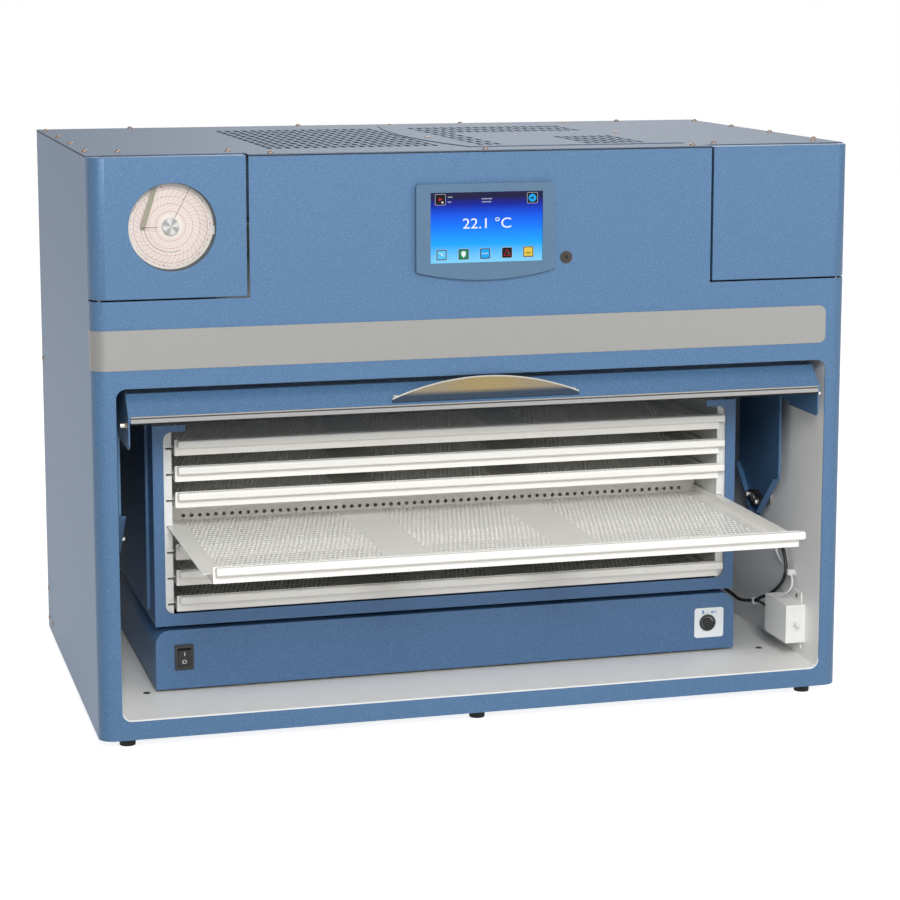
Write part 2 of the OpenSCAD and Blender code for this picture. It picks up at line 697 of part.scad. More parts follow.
module switch_plunger() {
    color(white_paint) {
        rod_y(plunger_at, plunger_r, box_y0 - 10, box_y0 + 14);
        rod_y(plunger_at, plunger_r + 1.5, box_y0 + 1.6, box_y0 + 3.4);
    }
}
// The cable comes forward low on the side wall, loops up to a tie mount and turns back into the box
lead_r = 1.6;
cable_r = 2.6;
cable = [[488.1, 404, 72], [485.8, 403, 71.8], [484, 396, 70.5], [483, 384, 68], [480, 340, 63], [480, 302, 61], [480, 267, 60], [480, 214, 72],
    [480, 185, 84], [480, 157, 95], [480, 125, 113], [480, 106, 129], [480, 97, 145], [480, 102, 163],
    [481, 114, 175], [482, 130, 178], [483, 143, 171]];
lead_up = [[483, 142, 174], [484, 142, 163], [484, 128, 153], [484, 106, 146], [484, 90, 141], [483, 81, 134],
    [481, 80, 123], [477, 87, 114], [474, 96, 109], [474, 98, 100]];
lead_low = [[480, 220, 69], [479, 196, 75], [476, 168, 78], [474, 148, 77], [474, 122, 77]];
lead_sides = 8;
function dir_at(pts, i) = let (a = pts[max(i - 1, 0)], b = pts[min(i + 1, len(pts) - 1)]) (b - a) / norm(b - a);
function ring(pts, i, r) = let (d = dir_at(pts, i), u = cross(d, [1, 0, 0]) / norm(cross(d, [1, 0, 0])), v = cross(d, u))
    [for (k = [0 : lead_sides - 1]) pts[i] + r * (cos(360 * k / lead_sides) * u + sin(360 * k / lead_sides) * v)];
module tube(pts, r) {
    n = len(pts);
    m = lead_sides;
    polyhedron(points = [for (i = [0 : n - 1]) each ring(pts, i, r)],
        faces = concat([[for (k = [0 : m - 1]) k]], [[for (k = [0 : m - 1]) (n - 1) * m + m - 1 - k]],
            [for (i = [0 : n - 2], k = [0 : m - 1])
                [i * m + k, (i + 1) * m + k, (i + 1) * m + (k + 1) % m, i * m + (k + 1) % m]]));
}
module switch_leads() {
    color(black) { tube(cable, cable_r); tube(lead_low, lead_r); }
    color(white_paint) {
        tube(lead_up, lead_r);
        block([480, 88, 139], [liner_half, 96, 147]);
        block([476.4, 210, 67], [483.6, 216, 76]);
        rod_x([404, 72], 8, liner_half - 2, liner_half);
    }
}

// ---------------------------------------------------------------- agitator base
base_half = 418.5;
base_y0 = 116.5;
base_y1 = 515;
base_z0 = 31;
base_z1 = 113;
base_r = 20;
power_at = [agit_x - 379.8, 74.8];
power_size = [25.7, 35];
alarm_at = [agit_x + 378, 70.5];
alarm_r = 12;
rod_r = 5;
rod_y_at = [190, 440];
rod_z_at = 84;
bush_x = 230;
bush_half = 20;
neck_half = 12;
crank_at = [agit_x, 315];
module base_outline() {
    translate([agit_x - base_half, base_z0]) square([2 * base_half, base_z1 - base_z0 - base_r]);
    translate([agit_x - base_half + base_r, base_z0]) square([2 * (base_half - base_r), base_z1 - base_z0]);
    for (s = [-1, 1]) translate([agit_x + s * (base_half - base_r), base_z1 - base_r]) circle(base_r);
}
module base_inner() {
    t = sheet;
    translate([agit_x - base_half + t, base_z0 - 5]) square([2 * (base_half - t), base_z1 - base_z0 - base_r + 5]);
    translate([agit_x - base_half + base_r, base_z0 - 5]) square([2 * (base_half - base_r), base_z1 - base_z0 - t + 5]);
    for (s = [-1, 1]) translate([agit_x + s * (base_half - base_r), base_z1 - base_r]) circle(base_r - t);
}
module agitator_cover() {
    color(paint) difference() {
        across_y(base_y0, base_y1) base_outline();
        across_y(base_y0 + sheet, base_y1 - sheet) base_inner();
        block([power_at[0] - 10.5, base_y0 - 1, power_at[1] - 14.5],
            [power_at[0] + 10.5, base_y0 + 3, power_at[1] + 14.5]);
        rod_y(alarm_at, alarm_r - 2, base_y0 - 1, base_y0 + 3);
        for (s = [-1, 1], y = rod_y_at)
            block([agit_x + s * bush_x - neck_half - stroke - 3, y - 6, base_z1 - 3],
                [agit_x + s * bush_x + neck_half + stroke + 3, y + 6, base_z1 + 1]);
        rod_z(crank_at, stroke + 6 + 3, base_z1 - 3, base_z1 + 1);
    }
}
module agitator_chassis() {
    color(steel) difference() {
        union() {
            block([agit_x - base_half + 3, base_y0 + 3, base_z0], [agit_x + base_half - 3, base_y1 - 3, base_z0 + 2]);
            for (s = [-1, 1], y = rod_y_at) translate([agit_x + s * 330, 0, 0])
                block([-6, y - 16, base_z0 + 2], [6, y + 16, rod_z_at + 12]);
        }
        for (y = rod_y_at) rod_x([y, rod_z_at], rod_r, agit_x - 340, agit_x + 340);
    }
    color(black) for (s = [-1, 1], y = [150, 480])
        rod_z([agit_x + s * 380, y], 11, liner_z0, base_z0);
}
module guide_rods() { color("#D5D5D2") for (y = rod_y_at) rod_x([y, rod_z_at], rod_r, agit_x - 338, agit_x + 338); }
module gear_motor() {
    color("#4A4A4A") difference() {
        union() {
            rod_z(crank_at, 31, base_z0 + 2, 66);
            block([crank_at[0] - 38, crank_at[1] - 34, 66], [crank_at[0] + 38, crank_at[1] + 54, 88]);
            rod_z(crank_at, 11, 88, 93);
        }
        rod_z(crank_at, 5.05, 72, 94);
    }
    color(black) block([crank_at[0] + 60, crank_at[1] - 60, base_z0 + 2], [crank_at[0] + 180, crank_at[1] + 30, 70]);
}
// A disc on the motor's shaft with the roller pin that works in the yoke
module drive_crank() {
    color(steel) {
        rod_z(crank_at, 5, 73, 96);
        rod_z(crank_at, 24, 96, 103);
        translate([0, -stroke, 0]) rod_z(crank_at, 6, 103, 128);
    }
}
rocker_tilt = 7;
rocker_axis_y = base_y0 + 3;
rocker_pin_r = 1.5;
module rocker_pin_at(c, half, r) { rod_x([rocker_axis_y, c[1]], r, c[0] - half, c[0] + half); }
module rocker_frames() {
    color(black) {
        difference() {
            across_y(base_y0 - 2.4, base_y0) rounded(power_at - power_size / 2, power_at + power_size / 2, 1.5);
            block([power_at[0] - 9, base_y0 - 4, power_at[1] - 12.6], [power_at[0] + 9, base_y0 + 1, power_at[1] + 12.6]);
        }
        difference() {
            block([power_at[0] - 10.4, base_y0, power_at[1] - 14.4], [power_at[0] + 10.4, base_y0 + 20, power_at[1] + 14.4]);
            block([power_at[0] - 9, base_y0 - 1, power_at[1] - 12.6], [power_at[0] + 9, base_y0 + 14, power_at[1] + 12.6]);
            rocker_pin_at(power_at, 12, rocker_pin_r + 0.05);
        }
        difference() {
            union() {
                rod_y(alarm_at, alarm_r, base_y0 - 2.4, base_y0);
                rod_y(alarm_at, alarm_r - 2.1, base_y0, base_y0 + 18);
            }
            rod_y(alarm_at, alarm_r - 3.4, base_y0 - 4, base_y0 + 12);
            rocker_pin_at(alarm_at, 11, rocker_pin_r + 0.05);
        }
    }
}
module tilted(c) {
    translate([c[0], rocker_axis_y, c[1]]) rotate([rocker_tilt, 0, 0]) translate([-c[0], -rocker_axis_y, -c[1]]) children();
}
module power_rocker() {
    color(black) {
        tilted(power_at)
            block([power_at[0] - 8.6, base_y0 - 3.4, power_at[1] - 11.6], [power_at[0] + 8.6, base_y0 + 7, power_at[1] + 11.6]);
        rocker_pin_at(power_at, 10, rocker_pin_r);
    }
}
module alarm_rocker() {
    color(black) {
        tilted(alarm_at) rod_y(alarm_at, alarm_r - 4.4, base_y0 - 3.2, base_y0 + 6);
        rocker_pin_at(alarm_at, 9.3, rocker_pin_r);
    }
}

// ---------------------------------------------------------------- carriage
car_half = carriage_w / 2;
car_y1 = carriage_y + carriage_d;
front_in = 403;                           // half width of the carriage's front opening
sill = 17;                                // height of the carriage's lower front flange
head = 9;                                 // height of the two upper tabs
tab_l = 30;                               // length of the upper tabs
module carriage_frame() {
    color(paint) translate([agit_x, 0, 0]) {
        // front frame, open at the top between two tabs
        across_y(carriage_y, carriage_y + sheet) difference() {
            translate([-car_half, carriage_z0]) square([carriage_w, carriage_z1 - carriage_z0]);
            rounded([-front_in, carriage_z0 + sill], [front_in, carriage_z1 - head], 12);
            rounded([-front_in + tab_l, carriage_z0 + 60], [front_in - tab_l, carriage_z1 + 30], 5);
        }
        difference() {
            block([-car_half, carriage_y + sheet, carriage_z0], [car_half, car_y1, carriage_z1]);
            block([-car_half + sheet, carriage_y, carriage_z0 + sheet], [car_half - sheet, car_y1 - sheet, carriage_z1 + 1]);
            // slot for the roller pin
            block([-yoke_slot_x, crank_at[1] - yoke_slot_y, carriage_z0 - 1],
                [yoke_slot_x, crank_at[1] + yoke_slot_y, carriage_z0 + 3]);
            // air holes in the back
            for (x = [-320 : 160 : 320]) block([x - 60, car_y1 - 5, carriage_z0 + 60], [x + 60, car_y1 + 1, carriage_z1 - 60]);
        }
        // folded lips on the sides
        both_sides() block([car_half, carriage_y + 46, carriage_z0 + 14], [car_half + 4, carriage_y + 47.5, carriage_z1]);
    }
}
pin_play = 0.4;
yoke_slack = 4.2;
yoke_slot_x = 6 + pin_play + yoke_slack;
yoke_slot_y = stroke + 6 + 1;
module carriage_runners() {
    color("#E8E6DE") translate([agit_x, 0, 0]) {
        for (s = [-1, 1], y = rod_y_at) difference() {
            union() {
                block([s * bush_x - bush_half, y - 12, rod_z_at - 11], [s * bush_x + bush_half, y + 12, rod_z_at + 11]);
                block([s * bush_x - neck_half, y - 4, rod_z_at + 11], [s * bush_x + neck_half, y + 4, carriage_z0]);
            }
            rod_x([y, rod_z_at], rod_r + 0.05, s * bush_x - bush_half - 1, s * bush_x + bush_half + 1);
        }
        difference() {
            block([-30, crank_at[1] - 42, carriage_z0 + sheet], [30, crank_at[1] + 42, carriage_z0 + sheet + 10]);
            block([-yoke_slot_x, crank_at[1] - yoke_slot_y, carriage_z0], [yoke_slot_x, crank_at[1] + yoke_slot_y, carriage_z0 + 20]);
        }
    }
}

// ---------------------------------------------------------------- drawers
function drawer_level(n) = drawer_z0 + (drawer_n - n) * drawer_pitch;
guide_in = 391.5;                         // inner face of the plastic guides
runner_z = 8.6;                           // height of a drawer's runners above its underside
runner_reach = 398;
groove_h = 3;
guide_y0 = 124;
module drawer_guides() {
    color("#E6E8E6") translate([agit_x, 0, 0]) both_sides() difference() {
        block([guide_in, guide_y0, carriage_z0 + sheet], [car_half - sheet, 500, carriage_z1 - 6]);
        for (n = [1 : drawer_n]) block([guide_in - 1, guide_y0 - 1, drawer_level(n) + runner_z - groove_h / 2 + 0.6],
            [runner_reach + 1.5, 499, drawer_level(n) + runner_z + groove_h / 2 + 0.6]);
        // moulded joints between the stacked guide blocks
        for (n = [0 : 2 * drawer_n - 1]) block([guide_in - 1, guide_y0 - 1, drawer_z0 - 3 + n * drawer_pitch / 2 - 0.5],
            [car_half, guide_y0 + 0.8, drawer_z0 - 3 + n * drawer_pitch / 2 + 0.5]);
    }
}
tray_t = 1.2;
tray_half = drawer_half;
tray_y1 = 494;
front_y = 118;
plate_x0 = -388;
plate_x1 = 392;
ledge_x0 = -387;
ledge_x1 = 398;
hole_pitch = 11.38;
hole_n = 65;
module drawer(n) {
    z = drawer_level(n);
    out = n == open_drawer ? -drawer_travel : 0;
    color(white_paint) translate([agit_x, out, z]) {
        // floor, side walls and rear wall of one folded tray
        difference() {
            block([-tray_half, front_y + 2, 0], [tray_half, tray_y1, drawer_h]);
            block([-tray_half + tray_t, front_y, tray_t], [tray_half - tray_t, tray_y1 - tray_t, drawer_h + 1]);
            for (s = [-1, 1]) block([s * tray_half - 5, front_y, runner_z + tray_t], [s * tray_half + 5, tray_y1 - 3, drawer_h + 1]);
            for (i = [0 : hole_n - 1])
                rod_y([(i - (hole_n - 1) / 2) * hole_pitch, 6.5], 2.8, tray_y1 - 4, tray_y1 + 1);
        }
        both_sides() block([tray_half, front_y + 18, runner_z], [runner_reach, tray_y1, runner_z + tray_t]);
        // front plate with its finger ledge
        block([plate_x0, front_y, 0], [plate_x1, front_y + 2, drawer_h]);
        block([ledge_x0, carriage_y - ledge_d, drawer_h - 10], [ledge_x1, front_y, drawer_h]);
    }
}

place() cabinet_shell();
place() base_pan();
place() rear_panel();
place() top_lid();
place() service_cover();
place() panel_screws();
place() feet();
place() trim_band();
place() chamber_liner();
place() foam_insulation();
place() compartment_deck();
place() compressor();
place() condenser();
place() evaporator();
place() plenum_cover();
place() control_board();
place() power_supply();
place() power_inlet();
place() screen_bezel();
place() touch_screen();
place() lock_body();
place() recorder_case();
place() backup_battery();
place() hinge_pins();
place() switch_box();
place() switch_leads();
place() agitator_cover();
place() agitator_chassis();
place() guide_rods();
place() gear_motor();
place() rocker_frames();
place() condenser_fan();
place() circulation_fan();
place() key_barrel();
place() chart_paper();
place() chart_hub();
place() pen_arm();
place() chart_door();
place() chart_window();
place() access_door();
place() visor_skin();
place() visor_window();
place() visor_trim();
place() visor_handle();
place() visor_arms();
place() pivot_blocks();
place() switch_plunger();
place() drive_crank();
place() power_rocker();
place() alarm_rocker();
place() carriage_frame();
place() carriage_runners();
place() drawer_guides();
place() drawer(1);  // drawer_1
place() drawer(2);  // drawer_2
place() drawer(3);  // drawer_3
place() drawer(4);  // drawer_4
place() drawer(5);  // drawer_5
place() drawer(6);  // drawer_6
place() drawer(7);  // drawer_7
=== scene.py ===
import math

import bmesh
import bpy
from mathutils import Matrix, Vector


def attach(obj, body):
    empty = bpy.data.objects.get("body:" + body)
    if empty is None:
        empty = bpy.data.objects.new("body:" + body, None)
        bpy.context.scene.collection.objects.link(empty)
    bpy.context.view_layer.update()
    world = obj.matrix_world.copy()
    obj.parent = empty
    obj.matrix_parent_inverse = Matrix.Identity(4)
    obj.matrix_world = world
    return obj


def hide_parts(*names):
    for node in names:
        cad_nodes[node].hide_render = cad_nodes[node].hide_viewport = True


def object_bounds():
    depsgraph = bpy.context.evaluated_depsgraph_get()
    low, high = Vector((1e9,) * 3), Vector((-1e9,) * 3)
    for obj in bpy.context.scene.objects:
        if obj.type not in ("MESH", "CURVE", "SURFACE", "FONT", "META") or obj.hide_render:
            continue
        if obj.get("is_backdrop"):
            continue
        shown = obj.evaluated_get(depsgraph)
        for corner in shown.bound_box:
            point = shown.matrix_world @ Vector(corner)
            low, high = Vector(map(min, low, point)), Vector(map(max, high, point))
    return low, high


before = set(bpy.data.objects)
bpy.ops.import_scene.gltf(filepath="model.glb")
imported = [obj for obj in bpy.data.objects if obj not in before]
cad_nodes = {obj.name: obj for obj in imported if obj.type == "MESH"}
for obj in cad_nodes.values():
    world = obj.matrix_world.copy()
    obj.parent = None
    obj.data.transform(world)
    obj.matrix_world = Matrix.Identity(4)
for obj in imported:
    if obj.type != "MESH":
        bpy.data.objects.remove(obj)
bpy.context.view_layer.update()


# ---- Studio -------------------------------------------------------------------------------
# A white sweep, two soft boxes in front, one overhead and one behind, and a long lens that
# looks slightly down on the cabinet from its left.
def at(x, y, z):
    """A place in millimetres from the middle of the cabinet's lower front edge, in metres."""
    return Vector((x / 1000, (y - 218) / 1000, (z + 15) / 1000))


def linear(hex_colour):
    parts = [int(hex_colour[i:i + 2], 16) / 255 for i in (1, 3, 5)]
    return [p / 12.92 if p <= 0.04045 else ((p + 0.055) / 1.055) ** 2.4 for p in parts] + [1]


def add(tree, kind, inputs=None, **settings):
    made = tree.nodes.new("ShaderNode" + kind)
    for name, value in settings.items():
        setattr(made, name, value)
    for name, value in (inputs or {}).items():
        if isinstance(value, bpy.types.NodeSocket):
            tree.links.new(value, made.inputs[name])
        else:
            made.inputs[name].default_value = value
    return made


def seen_direct(tree):
    """One for rays from the camera, from reflections and through clear panes, else zero."""
    ray = add(tree, "LightPath")
    seen = add(tree, "Math", {0: ray.outputs["Is Camera Ray"], 1: ray.outputs["Is Glossy Ray"]},
               operation="MAXIMUM")
    return add(tree, "Math", {0: seen.outputs[0], 1: ray.outputs["Is Transmission Ray"]}, operation="MAXIMUM")


scene = bpy.context.scene
scene.view_settings.view_transform = "Standard"

floor_mesh = bmesh.new()
bmesh.ops.create_grid(floor_mesh, x_segments=1, y_segments=1, size=9)
floor_data = bpy.data.meshes.new("floor")
floor_mesh.to_mesh(floor_data)
floor = bpy.data.objects.new("floor", floor_data)
scene.collection.objects.link(floor)
floor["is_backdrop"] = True

white_ground = bpy.data.materials.new("white_ground")
white_ground.use_nodes = True
tree = white_ground.node_tree
tree.nodes.clear()
seen = seen_direct(tree)
glow = add(tree, "Math", {0: seen.outputs[0], 1: 0.86}, operation="MULTIPLY")
matt = add(tree, "BsdfDiffuse", {"Color": (0.62, 0.62, 0.62, 1)})
lit = add(tree, "Emission", {"Color": (1, 1, 1, 1), "Strength": glow.outputs[0]})
both = add(tree, "AddShader", {0: matt.outputs[0], 1: lit.outputs[0]})
add(tree, "OutputMaterial", {"Surface": both.outputs[0]})
floor_data.materials.append(white_ground)

world = bpy.data.worlds.new("white_room")
scene.world = world
world.use_nodes = True
tree = world.node_tree
tree.nodes.clear()
seen = seen_direct(tree)
strength = add(tree, "MapRange", {"Value": seen.outputs[0], "To Min": 0.28, "To Max": 1.0})
warmth = add(tree, "MixRGB", {"Fac": seen.outputs[0], "Color1": (1, 0.93, 0.86, 1), "Color2": (1, 1, 1, 1)})
sky = add(tree, "Background", {"Color": warmth.outputs[0], "Strength": strength.outputs[0]})
add(tree, "OutputWorld", {"Surface": sky.outputs[0]})

for name, place, aim, size, power in (
    ("front_box", (-0.5, -3.7, 2.3), (0.0, 0.0, 0.35), 1.3, 118),
    ("side_box", (2.4, -3.2, 1.2), (0.1, -0.2, 0.35), 2.0, 26),
    ("top_box", (0.2, -0.6, 3.6), (0.0, 0.0, 0.4), 2.6, 8),
    ("rear_box", (1.2, 3.4, 2.4), (0.0, 0.3, 0.4), 2.0, 34),
):
    lamp = bpy.data.lights.new(name, "AREA")
    lamp.shape = "SQUARE"
    lamp.size = size
    lamp.energy = power
    holder = bpy.data.objects.new(name, lamp)
    holder.location = place
    holder.rotation_euler = (Vector(aim) - Vector(place)).to_track_quat("-Z", "Y").to_euler()
    scene.collection.objects.link(holder)

focal_px, frame_px, sensor_mm = 2464.7, 900, 36
camera = bpy.data.cameras.new("camera")
camera.sensor_width = sensor_mm
camera.lens = focal_px / frame_px * sensor_mm
camera.shift_y = -0.1
camera.clip_start, camera.clip_end = 0.05, 50
eye = bpy.data.objects.new("camera", camera)
eye.location = (-0.899, -3.3294, 0.9938)
heading, dip = 0.26712, 0.15155
eye.rotation_euler = (math.pi / 2 - dip, 0, -heading)
scene.collection.objects.link(eye)
scene.camera = eye


# ---- Cabinet shell, doors and visor -------------------------------------------------------
# Folded mild steel, powder coated in a metallic blue and oven cured: an even satin face with
# fine bright flakes and a faint orange peel. Folded edges have a small round.
def start_material(name):
    material = bpy.data.materials.new(name)
    material.use_nodes = True
    tree = material.node_tree
    place = add(tree, "TexCoord").outputs["Object"]
    return material, tree, tree.nodes["Principled BSDF"], place


def metallic_powder_coat(name, body, flake, roughness=0.42, metal=0.2, coat=0.14):
    material, tree, shader, place = start_material(name)
    grains = add(tree, "TexNoise", {"Vector": place, "Scale": 1 / 0.0011, "Detail": 1.0})
    sparkle = add(tree, "MapRange", {"Value": grains.outputs["Fac"], "From Min": 0.56, "From Max": 0.74})
    cloud = add(tree, "TexNoise", {"Vector": place, "Scale": 1 / 0.004, "Detail": 2.0})
    mixed = add(tree, "Mix", {"Factor": sparkle.outputs[0]}, data_type="RGBA")
    mixed.inputs[6].default_value = linear(body)
    mixed.inputs[7].default_value = linear(flake)
    tree.links.new(mixed.outputs[2], shader.inputs["Base Color"])
    peel = add(tree, "Bump", {"Height": cloud.outputs["Fac"], "Strength": 0.25, "Distance": 0.00008})
    tree.links.new(peel.outputs[0], shader.inputs["Normal"])
    shader.inputs["Metallic"].default_value = metal
    shader.inputs["Roughness"].default_value = roughness
    shader.inputs["Coat Weight"].default_value = coat
    shader.inputs["Coat Roughness"].default_value = 0.22
    return material


def dress(material, *names):
    for name in names:
        piece = cad_nodes[name]
        if not piece.data.materials:
            piece.data.materials.append(material)
        for slot in piece.material_slots:
            slot.material = material


def ease_edges(width, *names):
    """Rounds the folded edges of CAD sheets: their loose triangles are welded first."""
    for name in names:
        piece = cad_nodes[name]
        weld = piece.modifiers.new("weld", "WELD")
        weld.merge_threshold = 0.000002
        ease = piece.modifiers.new("ease", "BEVEL")
        ease.width = width
        ease.segments = 2
        ease.limit_method = "ANGLE"
        ease.angle_limit = math.radians(35)
        ease.harden_normals = True


blue_coat = metallic_powder_coat("metallic_blue_powder_coat", "#456A8F", "#6B8EB3", 0.52)
dress(blue_coat, "cabinet_shell", "base_pan", "chart_door", "access_door", "visor_skin", "visor_arms")
# Painted shade: the lid, service cover and rear panel share a greyer, darker copy of the blue coat, standing in for
# the dimmer light on the lid's top; it is also rougher, with less metal and coat.
lid_shaded_coat = metallic_powder_coat("lid_shaded_blue_powder_coat", "#4C6078", "#728398", 0.62, 0.05, 0.02)
dress(lid_shaded_coat, "top_lid", "service_cover", "rear_panel")
# Painted shade: the agitator cover and carriage frame carry a slightly darker copy of the blue coat, standing in for
# the shade the drawers cast on them.
shaded_blue_coat = metallic_powder_coat("agitator_shaded_blue_powder_coat", "#40648C", "#6385AC", 0.5)
dress(shaded_blue_coat, "agitator_cover", "carriage_frame")
ease_edges(0.0006, "visor_skin", "agitator_cover", "visor_handle")
ease_edges(0.0011, "chart_door", "access_door")
ease_edges(0.0012, "screen_bezel")


# ---- Chamber liner, switch box and drawers ------------------------------------------------
# White powder coat on sheet steel: satin, very slightly warm, with a fine orange peel.
def plain_coat(name, colour, roughness, grain=0.003, depth=0.00006, coat=0.15):
    material, tree, shader, place = start_material(name)
    cloud = add(tree, "TexNoise", {"Vector": place, "Scale": 1 / grain, "Detail": 2.0})
    tint = add(tree, "MixRGB", {"Fac": cloud.outputs["Fac"]})
    low = linear(colour)
    tint.inputs[1].default_value = [c * 0.96 for c in low[:3]] + [1]
    tint.inputs[2].default_value = low
    tree.links.new(tint.outputs[0], shader.inputs["Base Color"])
    peel = add(tree, "Bump", {"Height": cloud.outputs["Fac"], "Strength": 0.2, "Distance": depth})
    tree.links.new(peel.outputs[0], shader.inputs["Normal"])
    shader.inputs["Roughness"].default_value = roughness
    shader.inputs["Coat Weight"].default_value = coat
    shader.inputs["Coat Roughness"].default_value = 0.3
    return material


liner_white = plain_coat("white_powder_coat_liner", "#F0F0EE", 0.5)
drawer_white = plain_coat("white_powder_coat_drawer", "#F6F5F0", 0.4)
dress(liner_white, "chamber_liner", "plenum_cover", "switch_box", "switch_plunger", "foam_insulation")
dress(drawer_white, *["drawer_%d" % n for n in range(1, 8)])
guide_plastic = plain_coat("white_acetal_guides", "#E6E8E6", 0.35, 0.006, 0.00003)
dress(guide_plastic, "drawer_guides", "carriage_runners")


# ---- Metal trim ----------------------------------------------------------------------------
# Brushed stainless band, satin aluminium strip and handle, zinc-plated fasteners and brackets.
def brushed_metal(name, colour, roughness, grain_x, grain_z, contrast=0.12):
    material, tree, shader, place = start_material(name)
    run = add(tree, "Mapping", {"Vector": place, "Scale": (1 / grain_x, 1 / grain_z, 1 / grain_z)})
    lines = add(tree, "TexNoise", {"Vector": run.outputs[0], "Scale": 1.0, "Detail": 3.0})
    tint = add(tree, "MixRGB", {"Fac": lines.outputs["Fac"]})
    low = linear(colour)
    tint.inputs[1].default_value = [c * (1 - contrast) for c in low[:3]] + [1]
    tint.inputs[2].default_value = [min(1, c * (1 + contrast)) for c in low[:3]] + [1]
    tree.links.new(tint.outputs[0], shader.inputs["Base Color"])
    rough = add(tree, "MapRange", {"Value": lines.outputs["Fac"], "To Min": roughness - 0.06,
                                   "To Max": roughness + 0.08})
    tree.links.new(rough.outputs[0], shader.inputs["Roughness"])
    shader.inputs["Metallic"].default_value = 0.85
    return material


def maths(tree, operation, *values):
    return add(tree, "Math", dict(enumerate(values)), operation=operation).outputs[0]


def between(tree, value, low, high):
    return maths(tree, "MULTIPLY", maths(tree, "GREATER_THAN", value, low), maths(tree, "LESS_THAN", value, high))


band_steel = brushed_metal("brushed_stainless_band", "#8C8C8A", 0.42, 0.03, 0.0005)
strip_aluminium = brushed_metal("satin_aluminium_strip_painted_shade", "#959594", 0.25, 0.05, 0.0006)
# Painted shade: below a set height the strip is coloured near black, standing in for the shade on its lower edge
# where it turns away from the light.
painted_shade_top = 423
tree = strip_aluminium.node_tree
height = add(tree, "SeparateXYZ", {"Vector": tree.nodes["Texture Coordinate"].outputs["Object"]}).outputs["Z"]
# lip fades the strip's colour into the painted shade over 0.8 mm of height
lip = add(tree, "MapRange", {"Value": height, "From Min": at(0, 0, painted_shade_top - 0.4).z,
                             "From Max": at(0, 0, painted_shade_top + 0.4).z})
shade = add(tree, "MixRGB", {"Fac": lip.outputs[0], "Color1": linear("#1C1C1D"),
                             "Color2": tree.nodes["Mix (Legacy)"].outputs[0]})
tree.links.new(shade.outputs[0], tree.nodes["Principled BSDF"].inputs["Base Color"])
handle_steel = brushed_metal("satin_stainless_handle_painted_light", "#857B68", 0.24, 0.03, 0.0008)
# The handle's face is painted a golden sheen at its middle (painted highlight) and dark blue-grey towards its folded
# root (painted reflection and shade), and a pale band round its arc's edge is a painted highlight.
tree = handle_steel.node_tree
spot = add(tree, "SeparateXYZ", {"Vector": tree.nodes["Texture Coordinate"].outputs["Object"]})
across, height = spot.outputs["X"], spot.outputs["Z"]
handle_root, handle_top, arc_radius = 434.5, 465.5, 339.05
painted_sheen_fade = add(tree, "MapRange", {"Value": maths(tree, "ABSOLUTE", across), "From Min": 0.012, "From Max": 0.075},
            interpolation_type="SMOOTHSTEP")
painted_root_shade = add(tree, "MapRange", {"Value": height, "From Min": at(0, 0, handle_root + 6.5).z,
                              "From Max": at(0, 0, handle_root + 15).z}, interpolation_type="SMOOTHSTEP")
rise = maths(tree, "SUBTRACT", height, at(0, 0, handle_top - arc_radius).z)
reach = maths(tree, "SQRT", maths(tree, "ADD", maths(tree, "MULTIPLY", across, across),
                                  maths(tree, "MULTIPLY", rise, rise)))
# edge: the pale band of painted highlight round the arc's rim
edge = add(tree, "MapRange", {"Value": reach, "From Min": (arc_radius - 2.2) / 1000,
                              "From Max": (arc_radius - 1.4) / 1000})
shade = add(tree, "MixRGB", {"Fac": painted_sheen_fade.outputs[0], "Color1": linear("#8D7D59"),
                             "Color2": tree.nodes["Mix (Legacy)"].outputs[0]})
shade = add(tree, "MixRGB", {"Fac": painted_root_shade.outputs[0], "Color1": linear("#313E4D"), "Color2": shade.outputs[0]})
shade = add(tree, "MixRGB", {"Fac": edge.outputs[0], "Color1": shade.outputs[0], "Color2": linear("#B0AEAA")})
tree.links.new(shade.outputs[0], tree.nodes["Principled BSDF"].inputs["Base Color"])
zinc_plate = brushed_metal("zinc_plated_steel", "#B5B5B2", 0.35, 0.004, 0.004)
fin_aluminium = brushed_metal("mill_aluminium", "#A9A9A6", 0.45, 0.004, 0.004)
dress(band_steel, "trim_band")
dress(strip_aluminium, "visor_trim")
dress(handle_steel, "visor_handle")
dress(zinc_plate, "panel_screws", "compartment_deck", "hinge_pins", "agitator_chassis", "guide_rods",
      "power_supply", "drive_crank")
polished_nickel = brushed_metal("polished_nickel", "#CFCDC8", 0.14, 0.003, 0.003, 0.04)
dark_nickel = brushed_metal("black_nickel_lock", "#4E473F", 0.2, 0.003, 0.003, 0.1)
dress(dark_nickel, "lock_body")
dress(fin_aluminium, "condenser", "evaporator")


# ---- Plastics, rubber and glass -------------------------------------------------------------
# Moulded black ABS and nylon, black neoprene feet, clear polycarbonate panes.
def moulded(name, colour, roughness, grain=0.0012, depth=0.00004):
    material, tree, shader, place = start_material(name)
    spark = add(tree, "TexNoise", {"Vector": place, "Scale": 1 / grain, "Detail": 2.0})
    tint = add(tree, "MixRGB", {"Fac": spark.outputs["Fac"]})
    low = linear(colour)
    tint.inputs[1].default_value = [c * 0.85 for c in low[:3]] + [1]
    tint.inputs[2].default_value = [min(1, c * 1.15 + 0.002) for c in low[:3]] + [1]
    tree.links.new(tint.outputs[0], shader.inputs["Base Color"])
    skin = add(tree, "Bump", {"Height": spark.outputs["Fac"], "Strength": 0.3, "Distance": depth})
    tree.links.new(skin.outputs[0], shader.inputs["Normal"])
    shader.inputs["Roughness"].default_value = roughness
    return material


